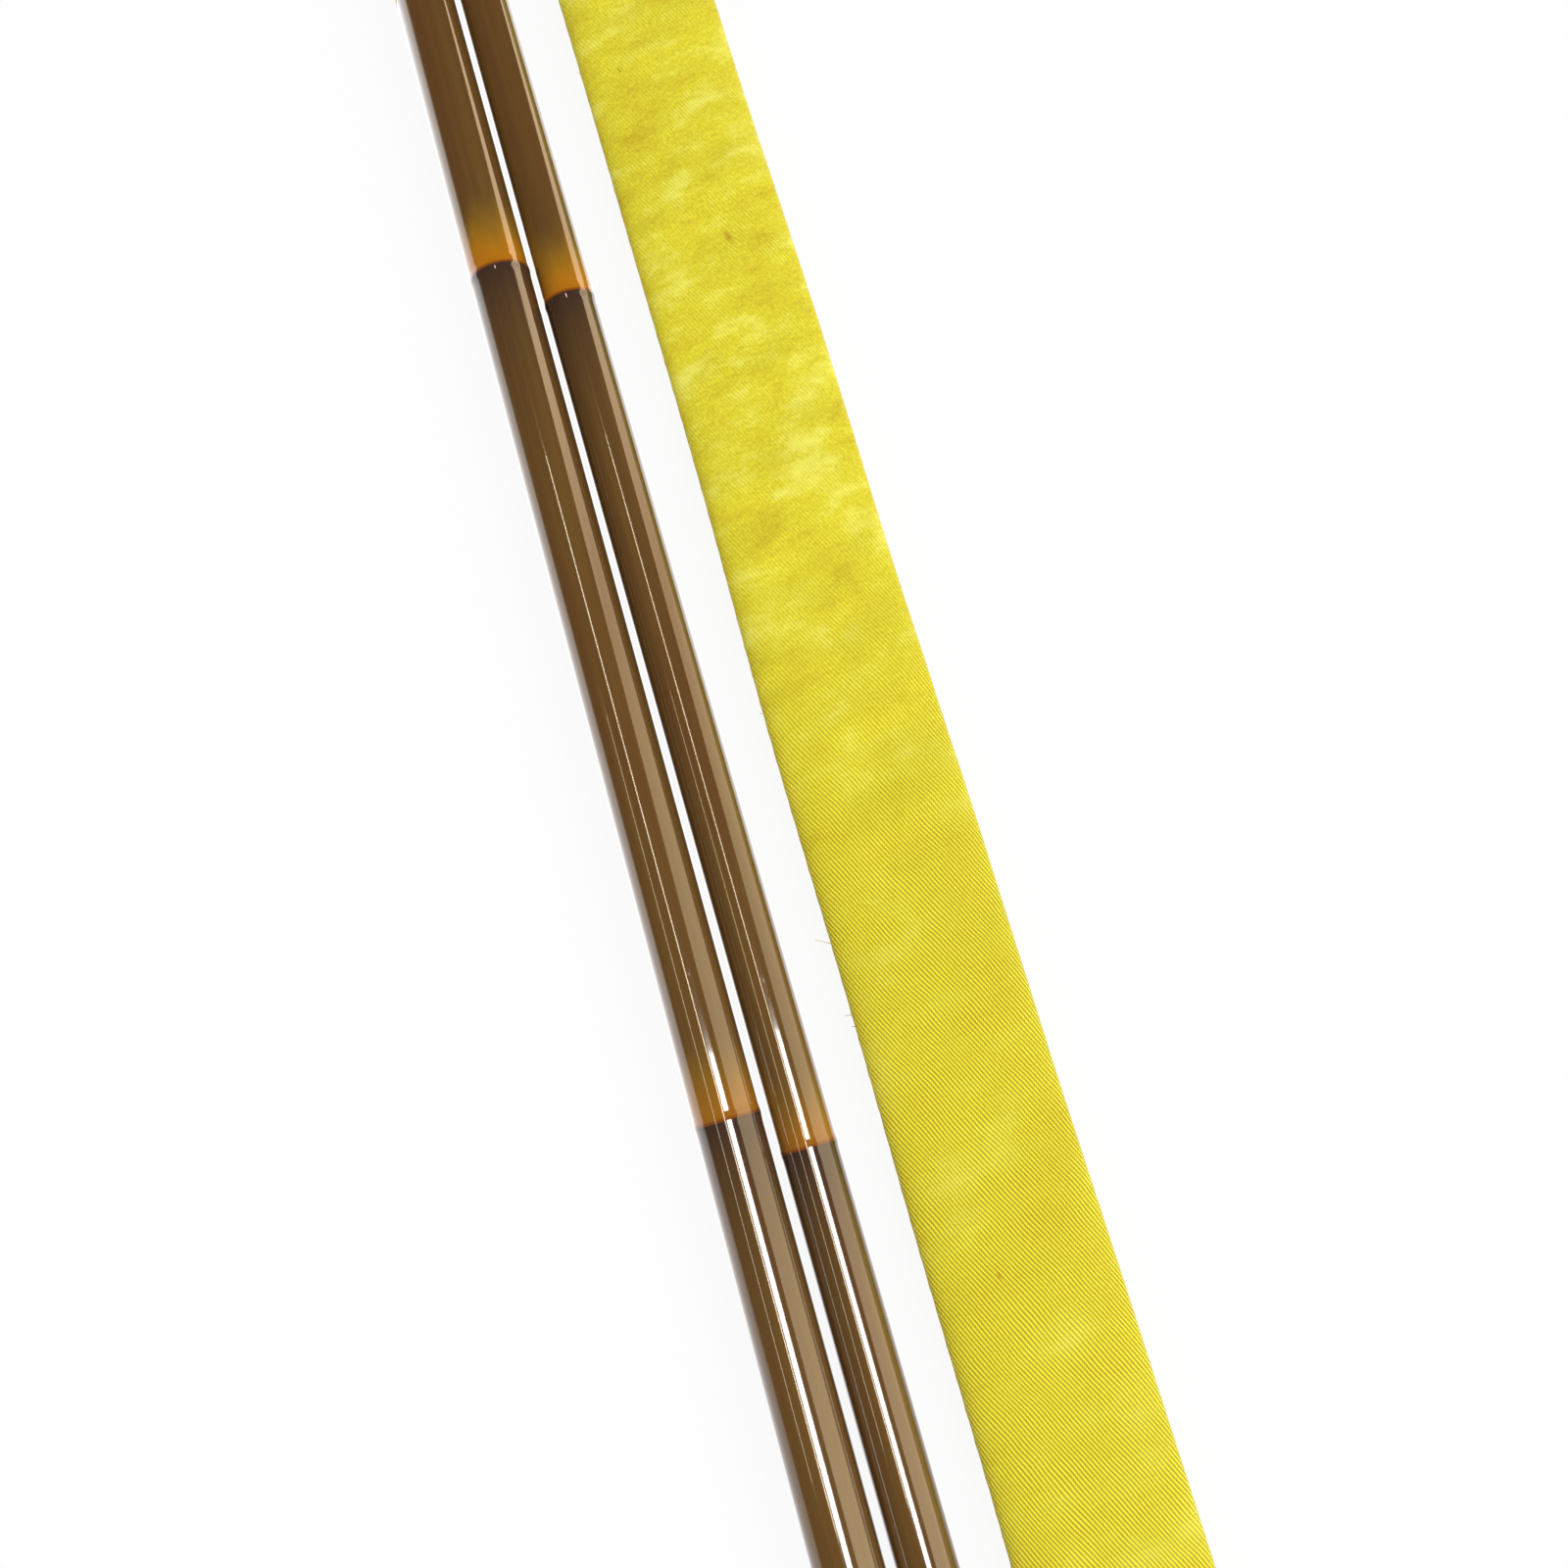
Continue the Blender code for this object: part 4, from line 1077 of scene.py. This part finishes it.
class SleeveOperator(bpy.types.Operator):
    """Sew the twill sleeve: body, hem with its stitches, seam, and leather tie tab"""

    bl_idname = "pole_rod.sleeve"
    bl_label = "Cloth sleeve"

    # How far the long seam stands proud, how wide it is on either side, and its stitches' pitch
    SEAM_RISE = 0.3 * MM
    SEAM_HALF = 0.7 * MM
    SEAM_PITCH = 3.4 * MM
    # The tube has an inner side where it is higher than this many thicknesses of cloth
    LEAST_HOLLOW = 2.4
    # What tells the inner side's pattern from the outer side's
    INNER_PATTERN = 0.01
    # Rows that round the foot off: how far each stands back, and its share of the height
    FOOT_ROWS = ((1.2 * MM, 0.12), (1.1 * MM, 0.45), (0.8 * MM, 0.72), (0.4 * MM, 0.91))
    HEM_ROWS = 26
    HEM_INSET = 0.0003
    # How far the hem swells and its stitches draw it in. Their rows, and how much on either side
    # of a row is drawn in, are shares of the hem's length
    HEM_SWELL = 0.00018
    HEM_DIMPLE = 0.00022
    HEM_LINES = (0.16, 0.84)
    HEM_DRAWN = 0.05
    FOOT_LINE = 7 * MM
    STITCH_PITCH = 0.0031
    STITCH_LENGTH = 0.0023
    STITCH_RADIUS = 0.00021
    # No stitch is laid lower than this, where the sleeve lies on the floor
    LEAST_STITCH = 0.0006
    # The tab's rounded corners, and its stitches: their radius, pitch and distance from its edge
    TAB_CORNER = 0.0022
    TAB_RADIUS = 0.00016
    TAB_PITCH = 0.0021
    TAB_INSET = 0.0017
    # The longest loose thread's station, how many others there are, and how thick they are
    LONG_THREAD = 0.9927
    LOOSE_THREADS = 7
    LOOSE_RADIUS = 0.10 * MM

    def execute(self, context):
        look = context.scene.pole_rod_sleeve
        self.look = look
        self.form = SleeveForm()
        self.drape = Drape(self.form)
        twill = twill_finish(look)
        sewing = sewing_finish(look)
        body = self.add_body(twill)
        hem = self.add_hem(twill)
        stitches = self.add_stitches(sewing)
        tab, tab_stitches = self.add_tab(leather_finish(look), sewing)
        threads = self.add_loose_threads(sewing)
        return {"FINISHED"}

    def add_cloth(self, node, rows, finish, closed, foot=()):
        """A two-sided tube of cloth: outside from foot to mouth, and inside back to the foot.

        A row is a station with the tube's width and height there. The tube ends in faces at its
        first and last ring, unless it is closed into one skin.
        """
        look = self.look
        points = []
        rings = []
        places = []

        def add_row(station, width, height, lift=0.0, inner=False):
            side, up, way = self.form.section(width, height, look.across)
            sideways, rise = self.drape.shift(station, side, up + lift, height + 2 * lift)
            if not inner:
                girth = spread(way)
                gap = np.minimum(abs(way + girth / 4), abs(way - girth * 3 / 4))
                swell = self.SEAM_RISE * (0.7 + 0.3 * sin(station * 2 * pi / self.SEAM_PITCH))
                sideways += swell * np.exp(-(gap / self.SEAM_HALF) ** 2)
            add_ring(points, rings, [self.form.point(station, *place)
                                     for place in zip(side + sideways, up + lift + rise)])
            depth = self.INNER_PATTERN if inner else 0.0
            places.extend((turn, station, depth) for turn in way)

        station, width, full = rows[0]
        for back, share in foot:
            height = full * share
            add_row(station - back, width - 2 * back, height, (full - height) / 2)
        for row in rows:
            add_row(*row)
        for station, width, height in rows[::-1]:
            if height > self.LEAST_HOLLOW * look.cloth:
                add_row(station, width - 2 * look.cloth, height - 2 * look.cloth, look.cloth, True)
        faces = bands(rings, closed, capped=not closed)
        piece = add_piece(node + "_cloth", node, points, faces, finish, 60,
                          places={"cloth": (places, 0, self.form.girth)})
        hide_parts(node)
        return piece

    def add_body(self, finish):
        form = self.form
        count = int(form.body_end / self.look.row)
        rows = []
        for step in range(count + 1):
            station = form.body_end * step / count
            rows.append((station, form.width_at(station), form.height_at(station)))
        return self.add_cloth("bag_sleeve", rows, finish, False, self.FOOT_ROWS)

    def add_hem(self, finish):
        """The turned mouth: a second layer, proud at its edge and dimpled along its stitches."""
        form = self.form
        rows = []
        length = form.length - form.hem_start
        for step in range(self.HEM_ROWS + 1):
            station = form.hem_start + length * step / self.HEM_ROWS
            share = (station - form.hem_start) / length
            puff = sqrt(max(0.0, 1 - (2 * share - 1) ** 8))
            dimple = sum(exp(-((share - line) / self.HEM_DRAWN) ** 2) for line in self.HEM_LINES)
            stand = self.HEM_SWELL * puff - self.HEM_DIMPLE * dimple
            rows.append((station, form.hem_width - 2 * self.HEM_INSET + 2 * stand,
                         form.hem_height - self.HEM_INSET + stand))
        return self.add_cloth("bag_hem", rows, finish, True)

    def add_stitches(self, finish):
        """One row across the closed foot and two round the hem."""
        form = self.form
        points = []
        faces = []
        self.stitch_row(points, faces, self.FOOT_LINE, form.width_at(self.FOOT_LINE),
                        form.height_at(self.FOOT_LINE))
        for share in self.HEM_LINES:
            station = form.hem_start + (form.length - form.hem_start) * share
            self.stitch_row(points, faces, station, form.hem_width - 2 * self.HEM_INSET,
                            form.hem_height - self.HEM_INSET)
        return add_piece("bag_hem_stitches", "bag_hem", points, faces, finish, 60)

    def stitch_row(self, points, faces, station, width, height):
        """Stitches round the cloth at a station, square to its flattened round section."""
        form = self.form
        side, up, _ = form.section(width, height, form.FINE)
        height = float(up.max())
        half_width = form.hem_width / 2
        sideways, rise = self.drape.shift(station, side, up, height)
        path = [form.point(station, *place) for place in zip(side + sideways, up + rise)]
        path.append(path[0])
        steps = [(second - first).length for first, second in zip(path, path[1:])]
        travelled = np.concatenate([[0.0], np.cumsum(steps)])
        columns = np.array(path).T
        middle = form.point(station, 0.0, height / 2)
        count = int(travelled[-1] / self.STITCH_PITCH)
        for number in range(count):
            begin = number * travelled[-1] / count
            start, end = [Vector([np.interp(way, travelled, column) for column in columns])
                          for way in (begin, begin + self.STITCH_LENGTH)]
            centre = (start + end) / 2
            if centre.z < self.LEAST_STITCH:
                continue
            outward = centre - middle
            outward -= form.along * outward.dot(form.along)
            reach = outward.dot(form.across)
            flat = form.across * reach / half_width
            tall = UP * (outward.z / (height / 2))
            normal = (flat * (abs(reach) / half_width) ** 4 + tall).normalized()
            add_stitch(points, faces, start, end, normal, self.STITCH_RADIUS)

    def add_tab(self, leather, sewing):
        """The leather tab: a slab with rounded corners and pressed edges, sewn down at one end."""
        form = self.form
        low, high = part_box("bag_tie_tab")
        offset = (low + high) / 2 - form.foot
        station = offset.dot(form.along)
        side = offset.dot(form.across)
        corners, _ = distinct_points("bag_tie_tab")
        half_length, half_width = [spread(reach) / 2 for reach in form.places(corners)]
        thick = high.z - low.z
        # How far each ring of the slab stands in from its edge, and how high it is
        layers = ((0.0, low.z), (0.0, low.z + thick * 0.6), (0.084 * MM, low.z + thick * 0.85),
                  (0.24 * MM, high.z), (0.9 * MM, high.z), (1.6 * MM, high.z - 0.0875 * MM))
        points = []
        rings = []
        places = []
        edges = []
        for inset, up in layers:
            ring = []
            radius = self.TAB_CORNER - inset
            for quarter, (right, front) in enumerate(((1, 1), (-1, 1), (-1, -1), (1, -1))):
                for step in range(7):
                    turn = pi / 2 * (quarter + step / 6)
                    x = right * (half_width - self.TAB_CORNER) + radius * cos(turn)
                    y = front * (half_length - self.TAB_CORNER) + radius * sin(turn)
                    ring.append(form.point(station + y, side + x, up))
                    places.append((x, y, 0.0))
                    edges.append(1.0 if inset < 0.4 * MM else 0.0)
            add_ring(points, rings, ring)
        tab = add_piece("bag_tie_tab_leather", "bag_tie_tab", points, bands(rings, capped=True),
                        leather, 50, {"edge": edges}, {"cloth": places})
        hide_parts("bag_tie_tab")
        across = half_width - self.TAB_INSET
        near = -half_length * 0.1
        far = half_length - self.TAB_INSET
        box = [form.point(station + y, side + x, high.z)
               for x, y in ((-across, near), (across, near), (across, far), (-across, far))]
        return tab, self.add_tab_stitches(box, sewing)

    def add_tab_stitches(self, box, finish):
        """Stitches along the sides of a box, which hold the tab down at its mouth half."""
        points = []
        faces = []
        for start, end in zip(box, box[1:] + box[:1]):
            count = max(1, round((end - start).length / self.TAB_PITCH))
            for number in range(count):
                first = start.lerp(end, (number + 0.12) / count)
                last = start.lerp(end, (number + 0.88) / count)
                add_stitch(points, faces, first, last, UP, self.TAB_RADIUS)
        return add_piece("bag_tab_stitches", "bag_hem", points, faces, finish, 60)

    def add_loose_threads(self, finish):
        """Ends of thread that stand out of the long seam: the longest where the photo has one."""
        steps = 8
        form = self.form
        draw = random.Random(5).uniform
        stations = [self.LONG_THREAD] + [draw(0.05, 1.3) for _ in range(self.LOOSE_THREADS)]
        points = []
        faces = []
        for station in stations:
            reach = (3.2 if station == self.LONG_THREAD else draw(0.8, 1.8)) * MM
            bend = draw(-0.5, 0.5)
            start = form.point(station, -form.width_at(station) / 2 + 0.4 * MM, form.height / 2)
            path = []
            for step in range(steps + 1):
                share = step / steps
                middle = (start - form.across * (reach * share)
                          + form.along * (reach * (0.6 * share + bend * share ** 2))
                          + UP * (reach * (0.3 * share - 0.5 * share ** 2)))
                path.append((middle, self.LOOSE_RADIUS * (1 - 0.6 * share)))
            add_thread(points, faces, path, form.along, UP, sides=5)
        return add_piece("bag_loose_threads", "bag_sleeve", points, faces, finish, 60)


def add_light(name, at, aim, size, radiance, colour=(1, 1, 1), glossy=True, diffuse=True):
    """A flat lamp that faces a point, as bright as its radiance. Its second side lies along Y."""
    data = bpy.data.lights.new(name, "AREA")
    data.shape = "RECTANGLE"
    data.size, data.size_y = size
    data.energy = radiance * pi * size[0] * size[1]
    data.color = colour
    lamp = bpy.data.objects.new(name, data)
    back = (Vector(at) - Vector(aim)).normalized()
    side = Vector((0, 1, 0)).cross(back).normalized()
    turn = Matrix((side, back.cross(side), back)).transposed().to_4x4()
    lamp.matrix_world = Matrix.Translation(at) @ turn
    lamp.visible_glossy = glossy
    lamp.visible_diffuse = diffuse
    bpy.context.scene.collection.objects.link(lamp)


def add_sheet(name, points, faces, material):
    """A flat thing of the stage."""
    mesh = bpy.data.meshes.new(name)
    mesh.from_pydata(points, [], faces)
    mesh.materials.append(material)
    sheet = bpy.data.objects.new(name, mesh)
    bpy.context.scene.collection.objects.link(sheet)
    return sheet


class StudioOperator(bpy.types.Operator):
    """Lay the pale floor, light the set softly and place the camera"""

    bl_idname = "pole_rod.studio"
    bl_label = "Studio"

    # The share of plain white in the floor's look near the set. The rest takes the set's shadow
    PLAIN_WHITE = 0.93
    # The world for diffuse, mirror and camera rays: how high its sky fades, and from what to what
    ROOMS = ((0.45, 0.95, 0.45), (0.12, 0.9, 0.03), (1.0, 1.0, 1.0))
    WARM = (1.0, 0.86, 0.62)
    # Between these distances from the set, the floor turns plain white
    WHITE_FROM = 4.0
    WHITE_FULLY = 12.0
    # The screen's upper edge: Y, its height there, and how strongly the screen glows
    SCREEN_EDGE = ((2.6, -0.2, 1.6), (1.9, -0.05, 1.8), (1.31, 0.33, 2.1), (1.03, 0.684, 2.2),
                   (0.78, 1.0, 1.4), (0.45, 1.42, 1.25), (-0.2, 1.62, 1.6), (-2.0, 1.62, 1.9))
    SCREEN_AWAY = 1.0
    SCREEN_FOOT = -0.6
    SCREEN_FAR = 0.7

    def execute(self, context):
        look = context.scene.pole_rod_studio
        self.add_floor(look)
        self.set_world(context.scene)
        self.add_lights()
        self.add_screen()
        self.add_camera(context.scene, look)
        context.scene.view_settings.view_transform = "Standard"
        return {"FINISHED"}

    def add_floor(self, look):
        """A sheet that shows white where it is seen and takes the set's shadow. Mirrored, it shows
        painted light and shade.
        """
        made = Finish("white_sheet", Roughness=0.9, Specular_IOR_Level=0.1)
        place = made.node("ShaderNodeTexCoord", output="Object")
        made.feed(Base_Color=made.mix(made.noise(place, 3.0), *FLOOR_WHITE))
        rays = ("Is Glossy Ray", "Is Camera Ray", "Is Transmission Ray")
        mirrored, direct, passed = made.outputs("ShaderNodeLightPath", rays)
        seen = direct + mirrored + passed
        across, along, _ = made.parts(place)
        # Painted light and shade seen only in the mirror: the floor glows brighter past about 0.3 m
        # along Y and, right of the set, dimmer towards the foot
        beside = (0.6 * along.step(0.24, 0.4) - 0.45) * across.step(-0.012, 0.0)
        under_key = 0.8 * along.step(0.18, 0.32) + beside
        unlit = made.node("ShaderNodeEmission", inputs={"Strength": 0.0})
        twice_white = made.node("ShaderNodeEmission",
                                inputs={"Color": (1, 1, 1, 1), "Strength": 2.0})
        glow = made.mix_shaders(0.5 + mirrored * (under_key - 0.1) * 0.5, unlit, twice_white)
        away = made.vectors("LENGTH", place, output="Value")
        far = away.step(self.WHITE_FROM, self.WHITE_FULLY)
        share = seen * (self.PLAIN_WHITE + (1 - self.PLAIN_WHITE) * far)
        lit = Value(made, made.shader.outputs[0])
        made.show(made.mix_shaders(share, lit, glow), "Material Output")
        half = look.floor / 2
        points = [(-half, -half, 0), (half, -half, 0), (half, half, 0), (-half, half, 0)]
        plane = add_sheet("floor", points, [(0, 1, 2, 3)], made.material)

    def set_world(self, scene):
        """A pale room: white to the eye, lit from all round, and dark overhead in the lacquer."""
        world = bpy.data.worlds.new("pale_room")
        world.use_nodes = True
        made = Nodes(world.node_tree)
        up = made.parts(made.node("ShaderNodeTexCoord", output="Generated"))[2]
        skies = []
        for height, low, high in self.ROOMS:
            fade = made.node("ShaderNodeMapRange", inputs={"Value": up, "From Max": height,
                                                           "To Min": low, "To Max": high})
            skies.append(made.node("ShaderNodeBackground",
                                   inputs={"Color": (1, 1, 1, 1), "Strength": fade}))
        mirrored, direct = made.outputs("ShaderNodeLightPath", ("Is Glossy Ray", "Is Camera Ray"))
        shader = made.mix_shaders(mirrored, skies[0], skies[1])
        made.show(made.mix_shaders(direct, shader, skies[2]), "World Output")
        scene.world = world

    def add_lights(self):
        """Soft light from the right, a little from the left, and what only the lacquer mirrors."""
        centre = (0.0, 0.3, 0.0)
        add_light("soft_key", (1.45, -1.0, 1.75), centre, (2.0, 2.0), 4.2, glossy=False)
        add_light("soft_fill", (-1.5, 0.4, 0.8), centre, (1.2, 2.0), 0.9, glossy=False)
        add_light("panel", (0.12, -0.075, 1.2), (0.12, -0.075, 0), (0.34, 0.83), 16.0,
                  diffuse=False)
        add_light("strip", (-0.15, 0.43, 1.2), (-0.15, 0.43, 0), (0.05, 1.07), 15.0, self.WARM,
                  diffuse=False)
        add_light("far_strip", (-0.98, 0.32, 1.2), (-0.033, 0.32, 0), (0.05, 0.90), 6.0,
                  self.WARM, diffuse=False)

    def add_screen(self):
        """A broad pale screen on the right, in the lacquer alone.

        Its upper edge falls towards the mouth end, and its far end is dimmer.
        """
        points = []
        glow = []
        for y, top, strength in self.SCREEN_EDGE:
            far = y > self.SCREEN_FAR
            for z, tint in ((top, (1.7, 1.3, 0.82) if far else (1.55, 1.34, 0.9)),
                            (self.SCREEN_FOOT, (1.5, 1.05, 0.62) if far else (1.8, 1.4, 0.82))):
                points.append((self.SCREEN_AWAY, y, z))
                glow.append(shaded(tint, strength))
        faces = [(step, step + 1, step + 3, step + 2) for step in range(0, len(points) - 2, 2)]
        made = Finish("screen", Base_Color=(0, 0, 0, 1), Specular_IOR_Level=0.0,
                      Emission_Strength=1.0)
        made.feed(Emission_Color=made.place("glow"))
        screen = add_sheet("screen", points, faces, made.material)
        carried = screen.data.attributes.new("glow", "FLOAT_VECTOR", "POINT")
        carried.data.foreach_set("vector", np.asarray(glow, np.float32).ravel())
        for kind in ("camera", "diffuse", "shadow", "transmission"):
            setattr(screen, "visible_" + kind, False)

    def add_camera(self, scene, look):
        data = bpy.data.cameras.new("camera")
        data.lens = look.lens
        data.clip_start = 0.01
        data.clip_end = 100
        camera = bpy.data.objects.new("camera", data)
        turn = Matrix.Rotation(look.camera_roll, 4, "Z")
        turn @= Matrix.Rotation(look.camera_pitch, 4, "X")
        turn @= Matrix.Rotation(look.camera_lean, 4, "Y")
        camera.matrix_world = Matrix.Translation(look.camera_at) @ turn
        scene.collection.objects.link(camera)
        scene.camera = camera


class StudioPanel(bpy.types.Panel):
    """Lists the steps that finish the rod and its sleeve"""

    bl_idname = "VIEW3D_PT_pole_rod"
    bl_label = "Pole rod"
    bl_space_type = "VIEW_3D"
    bl_region_type = "UI"
    bl_category = "Pole rod"

    def draw(self, context):
        for step in STEPS:
            self.layout.operator(step.bl_idname)


STEPS = (BlankOperator, BindingOperator, GripOperator, EndOperator, SleeveOperator, StudioOperator)
SETTINGS = {"pole_rod_lacquer": LacquerSettings, "pole_rod_grip": GripSettings,
            "pole_rod_sleeve": SleeveSettings, "pole_rod_studio": StudioSettings}


def register():
    for name, group in SETTINGS.items():
        bpy.utils.register_class(group)
        setattr(bpy.types.Scene, name, PointerProperty(type=group))
    for step in STEPS:
        bpy.utils.register_class(step)
    bpy.utils.register_class(StudioPanel)


def unregister():
    bpy.utils.unregister_class(StudioPanel)
    for step in reversed(STEPS):
        bpy.utils.unregister_class(step)
    for name, group in SETTINGS.items():
        delattr(bpy.types.Scene, name)
        bpy.utils.unregister_class(group)


def main():
    register()
    bpy.ops.pole_rod.blanks()
    bpy.ops.pole_rod.bindings()
    bpy.ops.pole_rod.grip()
    bpy.ops.pole_rod.ends()
    bpy.ops.pole_rod.sleeve()
    bpy.ops.pole_rod.studio()


if __name__ == "__main__":
    main()
